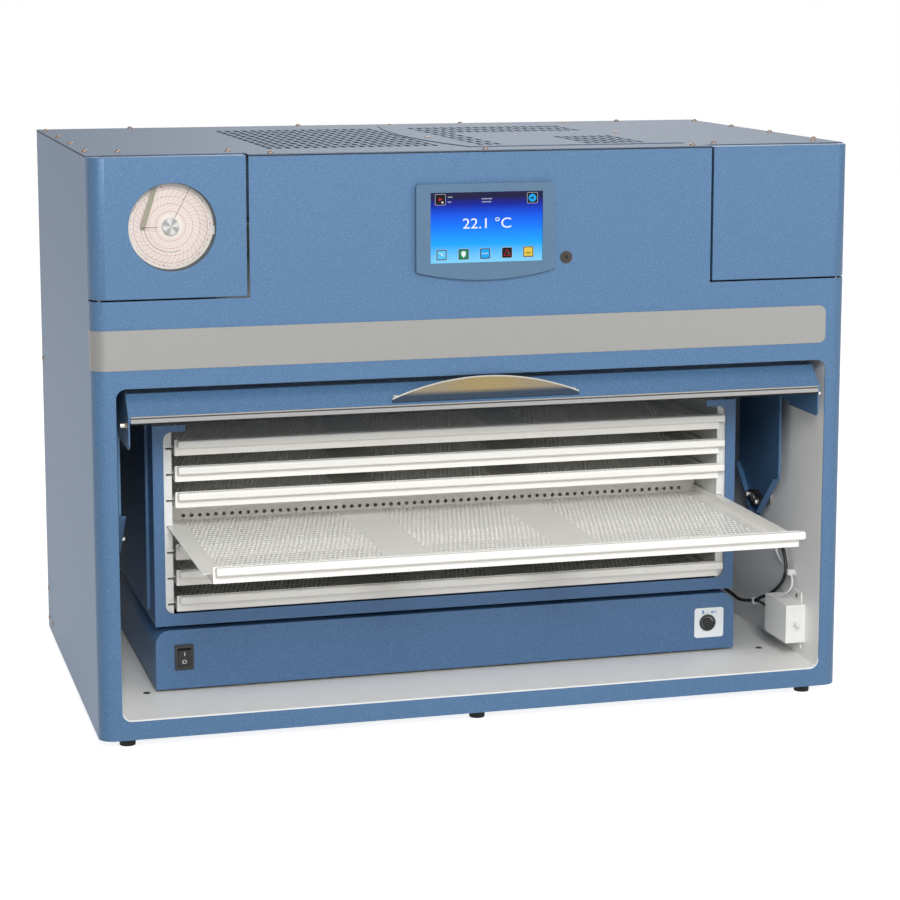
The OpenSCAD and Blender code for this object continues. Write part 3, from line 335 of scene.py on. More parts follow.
black_abs = moulded("moulded_black_abs", "#1E1E1F", 0.38)
neoprene = moulded("black_neoprene", "#18181A", 0.75, 0.002, 0.0001)
bezel_abs = moulded("painted_blue_abs", "#4C6C88", 0.42, 0.0012, 0.00008)
board_resin = moulded("green_circuit_resin", "#2F6B3C", 0.4)
arm_enamel = moulded("tan_enamelled_arm", "#8A8468", 0.45)
dress(black_abs, "key_barrel", "compressor", "condenser_fan", "circulation_fan", "recorder_case", "backup_battery",
      "gear_motor", "rocker_frames", "power_rocker", "alarm_rocker", "power_inlet", "pivot_blocks",
      "switch_leads")
dress(neoprene, "feet")
dress(bezel_abs, "screen_bezel")
dress(board_resin, "control_board")
dress(arm_enamel, "pen_arm")


def clear_pane(name, colour, alpha):
    material, tree, shader, place = start_material(name)
    haze = add(tree, "TexNoise", {"Vector": place, "Scale": 1 / 0.08, "Detail": 2.0})
    cloud = add(tree, "MapRange", {"Value": haze.outputs["Fac"], "To Min": 0.03, "To Max": 0.07})
    tree.links.new(cloud.outputs[0], shader.inputs["Roughness"])
    shader.inputs["Base Color"].default_value = linear(colour)
    shader.inputs["Alpha"].default_value = alpha
    shader.inputs["IOR"].default_value = 1.49
    shader.inputs["Specular IOR Level"].default_value = 0.15
    return material


acrylic = clear_pane("clear_polycarbonate", "#E6EEF2", 0.06)
dress(acrylic, "chart_window", "visor_window")


# ---- Fasteners, rollers and lead wires -------------------------------------------------------
# Domed nickel-plated screws with cross recesses, socket screws in the hinge bearings, turned
# rollers on the visor's ends, and black and white stranded leads in soft sleeves.
def mm_box(shell, low, high):
    """A block between two corners in millimetres, added to a bmesh; returns its vertices."""
    low, high = Vector(low), Vector(high)
    made = bmesh.ops.create_cube(shell, size=1)["verts"]
    bmesh.ops.scale(shell, vec=high - low, verts=made)
    bmesh.ops.translate(shell, vec=(high + low) / 2, verts=made)
    return made


def edges_of(verts, test):
    found = {e for v in verts for e in v.link_edges}
    return [e for e in found if test(*(v.co for v in e.verts))]


def ease_box(shell, verts, width, test=lambda a, b: True, segments=2):
    return bmesh.ops.bevel(shell, geom=edges_of(verts, test), offset=width, offset_type="OFFSET",
                           affect="EDGES", segments=segments, profile=0.5, material=-1)


def new_piece(name, shell, material, body, finish, *stood_for):
    """Makes a bmesh drawn in millimetres into a piece that rides a body."""
    bmesh.ops.recalc_face_normals(shell, faces=shell.faces)
    for v in shell.verts:
        v.co = at(*v.co)
    data = bpy.data.meshes.new(name)
    shell.to_mesh(data)
    shell.free()
    data.materials.append(material)
    piece = bpy.data.objects.new(name, data)
    scene.collection.objects.link(piece)
    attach(piece, body)
    if stood_for:
        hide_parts(*stood_for)
    return piece


def smooth(piece, angle=40):
    for face in piece.data.polygons:
        face.use_smooth = True
    piece.data.set_sharp_from_angle(angle=math.radians(angle))
    return piece


def stand(shell, verts, place, toward="Z"):
    """Turns geometry drawn along +Z so that it points a given way, then moves it to its place."""
    turns = {"Z": None, "-Z": ("X", math.pi), "X": ("Y", math.pi / 2), "-X": ("Y", -math.pi / 2),
             "Y": ("X", -math.pi / 2), "-Y": ("X", math.pi / 2)}
    if turns[toward]:
        axis, angle = turns[toward]
        bmesh.ops.rotate(shell, cent=(0, 0, 0), matrix=Matrix.Rotation(angle, 3, axis), verts=verts)
    bmesh.ops.translate(shell, vec=place, verts=verts)
    return verts


def turned(shell, base, top, depth, segments=32):
    """A closed cone or rod along Z, its middle at the origin; returns its vertices."""
    return bmesh.ops.create_cone(shell, cap_ends=True, segments=segments, radius1=base, radius2=top,
                                 depth=depth)["verts"]


def dome(shell, radius, rise):
    """A round screw head with a small cylindrical foot, its underside at z 0."""
    ball = bmesh.ops.create_uvsphere(shell, u_segments=20, v_segments=12, radius=radius)["verts"]
    low = [v for v in ball if v.co.z < -0.001]
    bmesh.ops.delete(shell, geom=low, context="VERTS")
    verts = [v for v in ball if v.is_valid]
    foot = 0.35
    for v in verts:
        v.co.z = foot + v.co.z / radius * (rise - foot)
    rim = [e for e in {e for v in verts for e in v.link_edges} if e.is_boundary]
    grown = bmesh.ops.extrude_edge_only(shell, edges=rim)["geom"]
    lower = [g for g in grown if isinstance(g, bmesh.types.BMVert)]
    for v in lower:
        v.co.z = 0
    return verts + lower


def tube_along(shell, points, radius, sides=12, steps=6):
    """A round sleeve along a smooth line through points."""
    points = [Vector(p) for p in points]
    line = []
    for i in range(len(points) - 1):
        a, b, c, d = (points[max(i - 1, 0)], points[i], points[i + 1], points[min(i + 2, len(points) - 1)])
        for k in range(steps):
            t = k / steps
            line.append(0.5 * (2 * b + (c - a) * t + (2 * a - 5 * b + 4 * c - d) * t ** 2
                               + (3 * b - a - 3 * c + d) * t ** 3))
    line.append(points[-1])
    rings = []
    for i, place in enumerate(line):
        way = (line[min(i + 1, len(line) - 1)] - line[max(i - 1, 0)]).normalized()
        out = way.cross(Vector((1, 0, 0))).normalized()
        up = way.cross(out)
        turns = [2 * math.pi * k / sides for k in range(sides)]
        rings.append([shell.verts.new(place + radius * (math.cos(t) * out + math.sin(t) * up)) for t in turns])
    for one, two in zip(rings, rings[1:]):
        for k in range(sides):
            shell.faces.new((one[k], one[(k + 1) % sides], two[(k + 1) % sides], two[k]))
    for ring in (rings[0], rings[-1]):
        shell.faces.new(ring)


pivot_y, pivot_z = 188, 234


def swing(shell):
    """Carries geometry drawn with the visor shut to where the open visor rests."""
    bmesh.ops.rotate(shell, cent=(0, pivot_y, pivot_z), matrix=Matrix.Rotation(-math.pi / 2, 3, "X"),
                     verts=shell.verts)


bolt_radius, bolt_turn = 17, math.radians(98)
roller_y, roller_z = 4.2, 51
screw_nickel = brushed_metal("warm_nickel_screws", "#8A7669", 0.2, 0.002, 0.002, 0.06)
heads, recess_shades = bmesh.new(), bmesh.new()
lid_top, cover_top = 763.2, 764.4
spots = [((x, y, lid_top), "Z") for x in (-511, 511) for y in (105, 264, 415, 572)]
spots += [((x, y, lid_top), "Z") for x, y in ((-471, 84), (-330, 66), (-283, 16), (5, 16), (296, 16), (340, 52),
                                              (491, 62), (-382, 603), (-124, 603), (132, 597), (389, 597))]
spots += [((x, y, cover_top), "Z") for x, y in ((13, 570), (289, 560), (-12, 250), (285, 300))]
spots += [((side * 520, y, z), "X" if side > 0 else "-X") for side in (-1, 1)
          for y, z in ((600, 64), (600, 18), (560, 18), (600, 420))]
spots += [((x, 615, z), "Y") for x in (-500, -250, 0, 250, 500) for z in (20, 380, 745)]
for place, toward in spots:
    rise = 3.1 if place[2] == lid_top else 1.95
    stand(heads, dome(heads, 4.2, rise), place, toward)
    # Painted shade: two thin black bars cross each screw head, standing in for the shade inside its cross recess.
    for w, l in ((0.35, 1.9), (1.9, 0.35)):
        stand(recess_shades, mm_box(recess_shades, (-w, -l, rise - 0.8), (w, l, rise + 0.03)), place, toward)
smooth(new_piece("panel_screw_heads", heads, screw_nickel, "cabinet", "zinc_steel", "panel_screws"))
new_piece("panel_screw_recess_shades", recess_shades, black_abs, "cabinet", "black_plastic")

bolts, socket_shades, rollers, pins, groove_shade_bar = (bmesh.new() for _ in range(5))
# Painted shade: a dark bar sits in the strip's groove, standing in for the shade inside it.
mm_box(groove_shade_bar, (-474, -7.9, 30.52), (474, -6.2, 31.4))
for side in (-1, 1):
    inward, outward = ("-X", "X") if side > 0 else ("X", "-X")
    for s in (-1, 1):
        y = pivot_y + s * bolt_radius * math.cos(bolt_turn)
        z = pivot_z + s * bolt_radius * math.sin(bolt_turn)
        ease_box(bolts, turned(bolts, 4.3, 4.3, 4.4), 0.5, lambda a, b: a.z > 0 and b.z > 0)
        stand(bolts, [v for v in bolts.verts if abs(v.co.x) < 20], (side * 462.0, y, z), inward)
        # Painted shade: a thin black hexagon on each bolt's face stands in for the shade inside its socket.
        stand(socket_shades, turned(socket_shades, 2.0, 2.0, 0.3, 6), (side * 459.75, y, z), inward)
    stand(rollers, turned(rollers, 5.2, 3.8, 3.6), (side * 478.6, roller_y, roller_z), outward)
    stand(pins, turned(pins, 3.3, 3.3, 5), (side * 482.6, roller_y, roller_z), outward)
for shell in (bolts, socket_shades, rollers, pins, groove_shade_bar):
    swing(shell)
smooth(new_piece("bearing_bolts", bolts, polished_nickel, "visor", "zinc_steel"))
new_piece("bearing_bolt_socket_shades", socket_shades, black_abs, "visor", "black_plastic")
smooth(new_piece("visor_end_rollers", rollers, screw_nickel, "visor", "zinc_steel"))
smooth(new_piece("visor_end_pins", pins, polished_nickel, "visor", "zinc_steel"))
new_piece("visor_strip_groove_painted_shade", groove_shade_bar, moulded("dark_groove_shade", "#2C2825", 0.6), "visor", "black_plastic")

eyelets, drain_shades = bmesh.new(), bmesh.new()
for x, y in ((-441.2, 120.6), (448.4, 116.7)):
    stand(eyelets, turned(eyelets, 5.4, 4.6, 0.6), (x, y, 27.2))
    # Painted shade: a thin black disc in each eyelet stands in for the shade down the drain's mouth.
    stand(drain_shades, turned(drain_shades, 3.5, 3.5, 0.2, 24), (x, y, 27.5))
smooth(new_piece("drain_eyelets", eyelets, polished_nickel, "cabinet", "zinc_steel"))
new_piece("drain_mouth_shades", drain_shades, black_abs, "cabinet", "black_plastic")
# Painted shadow: a thin black strip under the lid's front and side edges stands in for the shadow in the gap between
# the lid and the panels below.
lid_gap_shade = bmesh.new()
mm_box(lid_gap_shade, (-314.8, -0.2, 760.4), (318, 0.4, 762))
for side in (-1, 1):
    x0, x1 = sorted((side * 520.2, side * 519.6))
    mm_box(lid_gap_shade, (x0, 25.2, 760.6), (x1, 614, 762))
new_piece("lid_gap_shadow", lid_gap_shade, neoprene, "cabinet", "black_rubber")
# Painted shade: a black sheet stands at the rear of the top compartment, where the view through the lid's vents ends,
# in place of the compartment's shade.
vent_shade_sheet = bmesh.new()
mm_box(vent_shade_sheet, (-200, 609.5, 590), (80, 613.2, 660))
new_piece("vent_shade_sheet", vent_shade_sheet, moulded("black_vent_shade", "#141416", 0.95, 0.003), "cabinet", "black_rubber")

black_sleeve = moulded("black_lead_sleeve", "#1B1C1E", 0.5, 0.003)
white_sleeve = moulded("white_lead_sleeve", "#D9DBDA", 0.5, 0.003)
leads = bmesh.new()
tube_along(leads, [(488.6, 404, 72), (485.4, 403, 71.8), (483.4, 396, 70.5), (483, 384, 68), (480, 340, 63),
                   (480, 302, 61), (480, 267, 60), (480, 214, 72), (480, 185, 84), (480, 157, 95), (480, 125, 113),
                   (480, 106, 129), (480, 97, 145), (480, 102, 163), (481, 114, 175), (482, 130, 178),
                   (483, 143, 171)], 2.5)
tube_along(leads, [(480, 220, 69), (479, 196, 75), (476, 168, 78), (474, 148, 77), (474, 122, 77)], 1.6)
smooth(new_piece("black_leads", leads, black_sleeve, "cabinet", "black_plastic", "switch_leads"), 50)
pale = bmesh.new()
tube_along(pale, [(483, 142, 174), (484, 142, 163), (484, 128, 153), (484, 106, 146), (484, 90, 141), (483, 81, 134),
                  (481, 80, 123), (477, 87, 114), (474, 96, 109), (474, 98, 100)], 1.6)
stand(pale, turned(pale, 8, 6.5, 2), (489.5, 404, 72), "-X")
ease_box(pale, mm_box(pale, (480, 88, 139), (490.5, 96, 147)), 0.8)
ease_box(pale, mm_box(pale, (476.4, 210, 67), (483.6, 216, 76)), 0.8)
smooth(new_piece("white_lead_and_ties", pale, white_sleeve, "cabinet", "white_plastic"), 40)

box_trim = bmesh.new()
for low, high in (((463.5, 49.3, 53), (488.5, 50, 54.4)), ((463.5, 49.3, 100.6), (488.5, 50, 102)),
                  ((463.5, 49.3, 54.4), (464.9, 50, 100.6)), ((487.1, 49.3, 54.4), (488.5, 50, 100.6))):
    mm_box(box_trim, low, high)
stand(box_trim, turned(box_trim, 6.2, 5.6, 1.6), (476, 49.2, 79), "-Y")
smooth(new_piece("switch_box_seam", box_trim, liner_white, "cabinet", "white_paint"), 30)
box_screws = bmesh.new()
for z in (112, 44):
    stand(box_screws, dome(box_screws, 3.2, 1.6), (489, 77, z), "-X")
smooth(new_piece("switch_box_screws", box_screws, screw_nickel, "cabinet", "zinc_steel"))


# ---- Screen, chart and switches --------------------------------------------------------------
# A backlit panel whose blue brightens downwards, with one reading and a row of plain icons; a
# printed paper dial under its pen; moulded rockers marked I and O; a printed polyester label.
def display(name, stops):
    """A lit patch: stops are heights in millimetres with their colours, blended between."""
    material, tree, shader, place = start_material(name)
    height = add(tree, "SeparateXYZ", {"Vector": place}).outputs["Z"]
    base, top = at(0, 0, stops[0][0]).z, at(0, 0, stops[-1][0] + 0.001).z
    level = add(tree, "MapRange", {"Value": height, "From Min": base, "From Max": top})
    ramp = add(tree, "ValToRGB", {"Fac": level.outputs[0]})
    ends = ramp.color_ramp.elements
    for i, (z, colour) in enumerate(stops):
        spot = (at(0, 0, z).z - base) / (top - base)
        stop = ends[i] if i < 2 else ends.new(spot)
        stop.position, stop.color = spot, linear(colour)
    pixels = add(tree, "TexNoise", {"Vector": place, "Scale": 1 / 0.0005, "Detail": 0.0})
    glow = add(tree, "MapRange", {"Value": pixels.outputs["Fac"], "To Min": 0.93, "To Max": 1.07})
    tree.links.new(ramp.outputs["Color"], shader.inputs["Emission Color"])
    tree.links.new(glow.outputs[0], shader.inputs["Emission Strength"])
    shader.inputs["Base Color"].default_value = (0.003, 0.003, 0.004, 1)
    shader.inputs["Roughness"].default_value = 0.35
    shader.inputs["Specular IOR Level"].default_value = 0.1
    return material


def lettering(shell, text, size, place, bold=0.0):
    """Plain upright lettering facing the front, its middle at a place in millimetres."""
    curve = bpy.data.curves.new("lettering", "FONT")
    curve.body, curve.size, curve.extrude, curve.offset = text, size, 0.04, bold
    curve.align_x, curve.align_y = "CENTER", "CENTER"
    holder = bpy.data.objects.new("lettering", curve)
    scene.collection.objects.link(holder)
    flat = bpy.data.meshes.new_from_object(holder.evaluated_get(bpy.context.evaluated_depsgraph_get()))
    bpy.data.objects.remove(holder)
    bpy.data.curves.remove(curve)
    upright, widened = Matrix.Rotation(math.pi / 2, 4, "X"), Matrix.Scale(1.14, 4, (1, 0, 0))
    flat.transform(Matrix.Translation(place) @ upright @ widened)
    before = set(shell.verts)
    shell.from_mesh(flat)
    bpy.data.meshes.remove(flat)
    return [v for v in shell.verts if v not in before]


def card(shell, x, z, w, h, y, radius=1.2, thick=0.06):
    """A thin upright card with round corners, facing the front."""
    verts = mm_box(shell, (x - w / 2, y, z - h / 2), (x + w / 2, y + thick, z + h / 2))
    ease_box(shell, verts, radius, lambda a, b: abs(a.x - b.x) + abs(a.z - b.z) < 0.01, 4)


def blade(shell, corners, y, thick=0.06):
    """A thin upright polygon from its corners in x and z, facing the front."""
    front = [shell.verts.new((x, y, z)) for x, z in corners]
    face = shell.faces.new(front)
    grown = bmesh.ops.extrude_face_region(shell, geom=[face])["geom"]
    bmesh.ops.translate(shell, vec=(0, thick, 0), verts=[g for g in grown if isinstance(g, bmesh.types.BMVert)])


panel_blue = display("screen_backlight", ((615.8, "#84D6FF"), (640, "#12A8FF"), (664, "#0078FF"), (680, "#0052E6"),
                                          (692, "#0620A0"), (702, "#16163E"), (708.6, "#1E1E46")))
dress(panel_blue, "touch_screen")
tint = {name: display("screen_" + name, ((600, colour), (720, colour))) for name, colour in (
    ("white", "#F2F6FF"), ("black", "#0C0D14"), ("red", "#D02030"), ("sky", "#58C4F4"), ("green", "#1E8A60"),
    ("azure", "#10A8F0"), ("yellow", "#E8C84A"), ("grey", "#B8BCC4"))}
glass = -5.0
marks = {name: bmesh.new() for name in tint}
lettering(marks["white"], "22.1 \u00b0C", 19.2, (1.8, glass - 0.06, 666.4))
for x, z, w in ((-48.5, 702.5, 6.5), (-49.5, 696, 5), (1.5, 699.4, 15), (1.5, 695.4, 14)):
    for k in range(int(w / 1.6)):
        card(marks["grey"], x - w / 2 + 0.8 + 1.6 * k, z, 1.1, 1.5, glass - 0.1, 0.2)
for x, z, colour in ((-62, 699.4, "black"), (64, 699.2, "black"), (-60.4, 626.6, "sky"), (-30.4, 626.8, "green"),
                     (-0.9, 627, "azure"), (29.2, 627.4, "black"), (58.6, 627.8, "yellow")):
    card(marks["grey"], x, z, 14.6, 14.6, glass - 0.07, 1.6)
    card(marks["black"], x, z, 13.6, 13.6, glass - 0.12, 1.4)
    if colour != "black":
        card(marks[colour], x, z, 11.6, 11.6, glass - 0.17, 1.0)
blade(marks["red"], ((-64, 701.8), (-64, 697.2), (-59.6, 699.8)), glass - 0.22)
card(marks["white"], -59.2, 695.8, 2.4, 2.0, glass - 0.22, 0.3)
stand(marks["azure"], turned(marks["azure"], 5.2, 5.2, 0.08), (64, glass - 0.2, 699.2), "-Y")
card(marks["black"], 62.2, 699.2, 1.8, 2.4, glass - 0.32, 0.1)
blade(marks["black"], ((62.8, 699.2), (65.4, 702), (65.4, 696.4)), glass - 0.32)
lettering(marks["white"], "\u00b0C", 5.5, (-60.4, glass - 0.24, 627.2), 0.05)
blade(marks["white"], ((-33.6, 629.6), (-30.4, 631.2), (-27.2, 629.6), (-27.8, 625.2), (-30.4, 622.4), (-33, 625.2)),
      glass - 0.24)
for a, b in (((-5.6, 626), (-3.6, 627.6)), ((-3.6, 627.6), (-1.4, 625.4)), ((-1.4, 625.4), (0.8, 627.8)),
             ((0.8, 627.8), (3.6, 626.2))):
    blade(marks["white"], (a, b, (b[0], b[1] + 0.7), (a[0], a[1] + 0.7)), glass - 0.24)
for a, b in (((24.6, 623.4), (33.8, 623.4)), ((24.6, 623.4), (29.2, 631.6)), ((33.8, 623.4), (29.2, 631.6))):
    side = 0.5 if a[1] == b[1] else 0
    blade(marks["red"], (a, b, (b[0] + 0.7 - side, b[1] + side), (a[0] + 0.7 - side, a[1] + side)), glass - 0.24)
card(marks["green"], 31, 626.4, 1.6, 1.6, glass - 0.24, 0.3)
card(marks["black"], 58.6, 626.8, 8, 0.9, glass - 0.24, 0.1)
card(marks["black"], 58.6, 623.8, 4, 0.6, glass - 0.24, 0.1)
for name, shell in marks.items():
    new_piece("screen_marks_" + name, shell, tint[name], "cabinet", "screen")

chart_x, chart_z = -414, 671.8


def chart_print(name):
    """A round chart: close rings, curved time arcs, one dark trace and a plain middle."""
    material, tree, shader, place = start_material(name)
    centre = at(chart_x, 0, chart_z)
    moved = add(tree, "VectorMath", {0: place, 1: centre}, operation="SUBTRACT").outputs[0]
    flat = add(tree, "VectorMath", {0: moved, 1: (1, 0, 1)}, operation="MULTIPLY").outputs[0]
    radius = add(tree, "VectorMath", {0: flat}, operation="LENGTH").outputs["Value"]
    parts = add(tree, "SeparateXYZ", {"Vector": flat})
    bearing = maths(tree, "ARCTAN2", parts.outputs["Z"], parts.outputs["X"])
    fine = maths(tree, "LESS_THAN", maths(tree, "FRACT", maths(tree, "DIVIDE", radius, 0.0019)), 0.2)
    bold = maths(tree, "LESS_THAN", maths(tree, "FRACT", maths(tree, "DIVIDE", radius, 0.0095)), 0.07)
    curved = maths(tree, "MULTIPLY_ADD", radius, 14.0, bearing)
    hours = maths(tree, "FRACT", maths(tree, "MULTIPLY", curved, 42 / math.tau))
    arcs = maths(tree, "LESS_THAN", hours, 0.085)
    inside = between(tree, radius, 0.0155, 0.0485)
    rings = maths(tree, "MAXIMUM", maths(tree, "MULTIPLY", fine, 0.5), maths(tree, "MULTIPLY", bold, 0.9))
    grid = maths(tree, "MULTIPLY", maths(tree, "MAXIMUM", rings, maths(tree, "MULTIPLY", arcs, 0.75)), inside)
    figures = add(tree, "TexNoise", {"Vector": place, "Scale": 1 / 0.0012, "Detail": 1.0}).outputs["Fac"]
    outer = maths(tree, "MULTIPLY", between(tree, radius, 0.0502, 0.0525), maths(tree, "GREATER_THAN", figures, 0.6))
    fibre = add(tree, "TexNoise", {"Vector": place, "Scale": 1 / 0.0009, "Detail": 2.0}).outputs["Fac"]
    sheet = add(tree, "MixRGB", {"Fac": fibre})
    sheet.inputs[1].default_value, sheet.inputs[2].default_value = linear("#E4DAD2"), linear("#F0E8E0")
    inked = add(tree, "MixRGB", {"Fac": maths(tree, "MAXIMUM", grid, outer), "Color1": sheet.outputs[0]})
    inked.inputs[2].default_value = linear("#B9686C")
    wander = maths(tree, "MULTIPLY_ADD", figures, 0.0006, 0.0332)
    near = maths(tree, "LESS_THAN", maths(tree, "ABSOLUTE", maths(tree, "SUBTRACT", radius, wander)), 0.00032)
    drawn = maths(tree, "MULTIPLY", near, maths(tree, "LESS_THAN", bearing, -1.2))
    slope = (math.cos(math.radians(62)), 0, math.sin(math.radians(62)))
    along = add(tree, "VectorMath", {0: flat, 1: slope}, operation="DOT_PRODUCT").outputs["Value"]
    across = add(tree, "VectorMath", {0: flat, 1: (-slope[2], 0, slope[0])}, operation="DOT_PRODUCT").outputs["Value"]
    start = maths(tree, "LESS_THAN", maths(tree, "ABSOLUTE", across), 0.00035)
    start = maths(tree, "MULTIPLY", start, maths(tree, "GREATER_THAN", along, 0))
    dark = add(tree, "MixRGB", {"Fac": maths(tree, "MAXIMUM", drawn, start), "Color1": inked.outputs[0]})
    dark.inputs[2].default_value = linear("#3A3236")
    tree.links.new(dark.outputs[0], shader.inputs["Base Color"])
    shader.inputs["Roughness"].default_value = 0.85
    return material


dress(chart_print("printed_chart_paper"), "chart_paper")


def spun_metal(name, colour):
    """Turned metal round the chart's shaft with a painted sheen in fans, standing in for the light its tool marks
    catch, over a fine grain.
    """
    material, tree, shader, place = start_material(name)
    moved = add(tree, "VectorMath", {0: place, 1: at(chart_x, 0, chart_z)}, operation="SUBTRACT").outputs[0]
    parts = add(tree, "SeparateXYZ", {"Vector": moved})
    bearing = maths(tree, "ARCTAN2", parts.outputs["Z"], parts.outputs["X"])
    painted_sheen_fan = maths(tree, "SINE", maths(tree, "MULTIPLY_ADD", bearing, 4.0, 0.6))
    grain = add(tree, "TexNoise", {"Vector": place, "Scale": 1 / 0.0008, "Detail": 2.0}).outputs["Fac"]
    level = maths(tree, "MULTIPLY_ADD", maths(tree, "MULTIPLY_ADD", grain, 0.3, painted_sheen_fan), 0.35, 0.45)
    tint = add(tree, "MixRGB", {"Fac": add(tree, "Clamp", {"Value": level}).outputs[0]})
    tint.inputs[1].default_value = linear("#6E6C6C")
    tint.inputs[2].default_value = linear(colour)
    tree.links.new(tint.outputs[0], shader.inputs["Base Color"])
    shader.inputs["Metallic"].default_value = 0.7
    shader.inputs["Roughness"].default_value = 0.35
    return material


dress(spun_metal("spun_aluminium_hub", "#D2D0CE"), "chart_hub")
tab = bmesh.new()
mm_box(tab, (chart_x + 52, 16.3, chart_z - 12), (chart_x + 57, 16.8, chart_z - 1))
new_piece("chart_tab", tab, guide_plastic, "cabinet", "white_plastic")
stylus = bmesh.new()
stand(stylus, turned(stylus, 0.45, 0.3, 19, 8), (-440.5, 9.8, 671.2), "X")
stand(stylus, turned(stylus, 0.6, 0.6, 5, 8), (-449.6, 11.8, 671.2), "-Y")
new_piece("pen_stylus", stylus, black_abs, "pen", "arm_tan")

label_stock = plain_coat("printed_label_stock", "#E9EFF2", 0.45, 0.002, 0.00002)
label_ink = moulded("light_blue_ink", "#6F9CC8", 0.6)
label_y, ink_y, ink_t = 116.15, 116.05, 0.1
label, ink = bmesh.new(), bmesh.new()
card(label, 370.4, 70.3, 44.2, 43.5, label_y, 4.0, 0.35)
for x, z, w, h, radius in ((361.2, 86.6, 3.4, 4.2, 1.2), (361.2, 84.0, 5.0, 0.8, 0.2), (368.0, 85.6, 1.4, 1.4, 0.4),
                           (374.0, 85.6, 1.8, 2.6, 0.2)):
    card(ink, x, z, w, h, ink_y, radius, ink_t)
blade(ink, ((374.4, 85.6), (377.4, 88.4), (377.4, 82.8)), ink_y, ink_t)
for x, h in ((379.2, 3.6), (381.0, 5.2)):
    card(ink, x, 85.6, 0.7, h, ink_y, 0.2, ink_t)
smooth(new_piece("alarm_label", label, label_stock, "cabinet", "white_paint"), 30)
new_piece("alarm_label_icons", ink, label_ink, "cabinet", "white_paint")

rocker_ink = moulded("white_rocker_print", "#E8E8E6", 0.5)
switch_x, switch_z, rocker_front, rocker_pivot_y = -389.8, 74.8, 113.04, 119.5
rocker_tilt = math.radians(7)
print_shell = bmesh.new()
made = []
for text, rise in (("I", 5.6), ("O", -5.6)):
    made += lettering(print_shell, text, 7.5, (switch_x, rocker_front, switch_z + rise))
bmesh.ops.rotate(print_shell, cent=(0, rocker_pivot_y, switch_z), matrix=Matrix.Rotation(rocker_tilt, 3, "X"),
                 verts=made)
new_piece("power_switch_marks", print_shell, rocker_ink, "power_switch", "white_plastic")


# ---- Drawers --------------------------------------------------------------------------------
# Each drawer is one folded tray of white-coated sheet with three panels of staggered slots in
# its floor, a row of round air holes in its rear wall and a boxed finger ledge across the front.
agitator_x = -10
drawer_pitch, lowest_drawer, drawer_high = 35.75, 138, 21.7
tray_half, tray_rear, front_plane, plate_rear, sheet_t = 388, 494, 118, 120, 1.2


def pierced_cell(shell, centre, hole, cell, points):
    """One flat cell round one hole: a hole's outline bridged to the cell's outline."""
    rings = []
    for half_w, half_l, square in ((hole[0], hole[1], False), (cell[0], cell[1], True)):
        ring = bmesh.ops.create_circle(shell, segments=points, radius=1)["verts"]
        for v in ring:
            angle = math.atan2(v.co.y, v.co.x)
            if points == 6:
                side = round(math.sin(angle), 3)
                end = abs(side) > 0.9
                v.co = (0 if end else math.copysign(half_w, v.co.x),
                        math.copysign(half_l, v.co.y) if end or square else math.copysign(half_l * 0.66, v.co.y), 0)
            else:
                reach = 1 / max(abs(v.co.x), abs(v.co.y)) if square else 1
                v.co = (v.co.x * reach * half_w, v.co.y * reach * half_l, 0)
        rings.append(ring)
    edges = list({e for ring in rings for v in ring for e in v.link_edges})
    faces = bmesh.ops.bridge_loops(shell, edges=edges)["faces"]
    verts = rings[0] + rings[1]
    bmesh.ops.translate(shell, vec=centre, verts=verts)
    return verts, faces


def spread(shell, geom, count, step):
    """Repeats faces count times along a step, doubling what is there each time."""
    step = Vector(step)
    faces = [g for g in geom if isinstance(g, bmesh.types.BMFace)]
    start = min(v.co.dot(step) for f in faces for v in f.verts) / step.length_squared
    made = 1
    while made < count:
        take = min(made, count - made)
        some = [f for f in faces if f.calc_center_median().dot(step) / step.length_squared < start + take]
        part = list({v for f in some for v in f.verts}) + list({e for f in some for e in f.edges}) + some
        copy = bmesh.ops.duplicate(shell, geom=part)["geom"]
        bmesh.ops.translate(shell, vec=step * made, verts=[g for g in copy if isinstance(g, bmesh.types.BMVert)])
        faces += [g for g in copy if isinstance(g, bmesh.types.BMFace)]
        made += take


def add_sheet(tray, cells, stand_up):
    """Welds pierced cells, gives them the sheet's thickness, places them and adds them to the tray."""
    bmesh.ops.remove_doubles(cells, verts=cells.verts, dist=0.01)
    bmesh.ops.recalc_face_normals(cells, faces=cells.faces)
    if sum(f.normal.z for f in cells.faces) < 0:
        bmesh.ops.reverse_faces(cells, faces=cells.faces)
    bmesh.ops.solidify(cells, geom=cells.faces[:], thickness=-sheet_t)
    bmesh.ops.translate(cells, vec=(0, 0, -min(v.co.z for v in cells.verts)), verts=cells.verts)
    if stand_up:
        bmesh.ops.rotate(cells, cent=(0, 0, 0), matrix=Matrix.Rotation(math.pi / 2, 3, "X"), verts=cells.verts)
        bmesh.ops.translate(cells, vec=(0, tray_rear, 0), verts=cells.verts)
    bmesh.ops.recalc_face_normals(cells, faces=cells.faces)
    part = bpy.data.meshes.new("pierced_sheet")
    cells.to_mesh(part)
    cells.free()
    tray.from_mesh(part)
    bpy.data.meshes.remove(part)


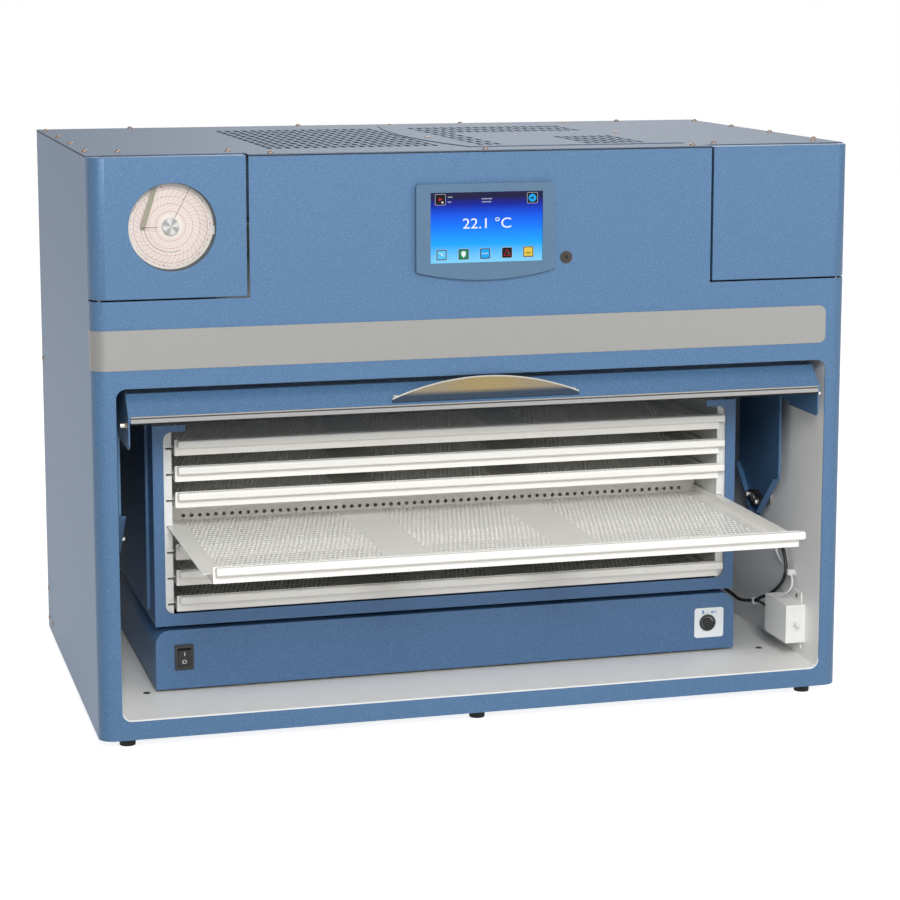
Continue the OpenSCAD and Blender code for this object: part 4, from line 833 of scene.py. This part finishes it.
slot_pitch, row_pitch, slot_rows = 6.4, 12.0, 30
first_row, panel_outer, panel_inner, middle_half = 129.0, 369, 145, 86.4
hole_pitch, hole_count, holes_base, holes_top = 11.38, 65, 1.5, 11.5
runner_base, runner_top = 8.6, 9.8
tray = bmesh.new()
for left, columns in ((-panel_outer, 35), (-middle_half, 27), (panel_inner, 35)):
    panel = bmesh.new()
    cell = (slot_pitch / 2, row_pitch / 2)
    for row in (0, 1):
        y = first_row + row_pitch * (row + 0.5)
        x = left + slot_pitch * (0.5 + row * 0.5)
        verts, faces = pierced_cell(panel, (x, y, 0), (2.1, 4.6), cell, 6)
        geom = verts + list({e for v in verts for e in v.link_edges}) + faces
        spread(panel, geom, columns - row, (slot_pitch, 0, 0))
    for x in (left + slot_pitch / 4, left + slot_pitch * (columns - 0.25)):
        made = bmesh.ops.create_grid(panel, x_segments=1, y_segments=1, size=0.5)["verts"]
        bmesh.ops.scale(panel, vec=(slot_pitch / 2, row_pitch, 1), verts=made)
        bmesh.ops.translate(panel, vec=(x, first_row + row_pitch * 1.5, 0), verts=made)
    spread(panel, panel.verts[:] + panel.edges[:] + panel.faces[:], slot_rows // 2, (0, row_pitch * 2, 0))
    add_sheet(tray, panel, False)

# Plain strips round and between the slotted panels.
last_row = first_row + row_pitch * slot_rows
for x0, x1, y0, y1 in ((-tray_half, tray_half, plate_rear, first_row), (-tray_half, tray_half, last_row, tray_rear),
                       (-tray_half, -panel_outer, first_row, last_row),
                       (-panel_inner, -middle_half, first_row, last_row),
                       (middle_half, panel_inner, first_row, last_row),
                       (panel_outer, tray_half, first_row, last_row)):
    mm_box(tray, (x0, y0, 0), (x1, y1, sheet_t))

# Side walls with the folded runners, rear wall with its row of air holes.
for side in (-1, 1):
    edge = sorted((side * tray_half, side * (tray_half - sheet_t)))
    mm_box(tray, (edge[0], plate_rear, sheet_t), (edge[1], tray_rear - sheet_t, runner_top))
    lip = sorted((side * tray_half, side * 398))
    mm_box(tray, (lip[0], 136, runner_base), (lip[1], tray_rear, runner_top))
wall = bmesh.new()
first_hole = (-(hole_count // 2) * hole_pitch, (holes_base + holes_top) / 2, 0)
cell = (hole_pitch / 2, (holes_top - holes_base) / 2)
verts, faces = pierced_cell(wall, first_hole, (2.8, 2.8), cell, 8)
spread(wall, verts + list({e for v in verts for e in v.link_edges}) + faces, hole_count, (hole_pitch, 0, 0))
add_sheet(tray, wall, True)
mm_box(tray, (-tray_half, tray_rear - sheet_t, holes_top), (tray_half, tray_rear, drawer_high))
mm_box(tray, (-tray_half, tray_rear - sheet_t, sheet_t), (tray_half, tray_rear, holes_base))
for side in (-1, 1):
    edge = sorted((side * tray_half, side * hole_pitch * hole_count / 2))
    mm_box(tray, (edge[0], tray_rear - sheet_t, holes_base), (edge[1], tray_rear, holes_top))

# The front plate and the rolled finger ledge.
ease_box(tray, mm_box(tray, (-tray_half, front_plane, 0), (392, plate_rear, drawer_high)), 0.6)
ease_box(tray, mm_box(tray, (-385, 108, 11.2), (398, front_plane, drawer_high)), 2.4, segments=3)
bmesh.ops.scale(tray, vec=(0.001, 0.001, 0.001), verts=tray.verts)

open_drawer, travel = 4, 290
tray_mesh = bpy.data.meshes.new("drawer_tray")
tray.to_mesh(tray_mesh)
tray.free()
for number in range(1, 8):
    pulled = -travel if number == open_drawer else 0
    place = at(agitator_x, pulled, lowest_drawer + (7 - number) * drawer_pitch)
    shape = tray_mesh.copy()
    shape.transform(Matrix.Translation(place))
    piece = bpy.data.objects.new("drawer_%d_tray" % number, shape)
    scene.collection.objects.link(piece)
    shape.materials.append(drawer_white)
    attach(piece, "drawer_%d" % number)
    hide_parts("drawer_%d" % number)

low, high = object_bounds()
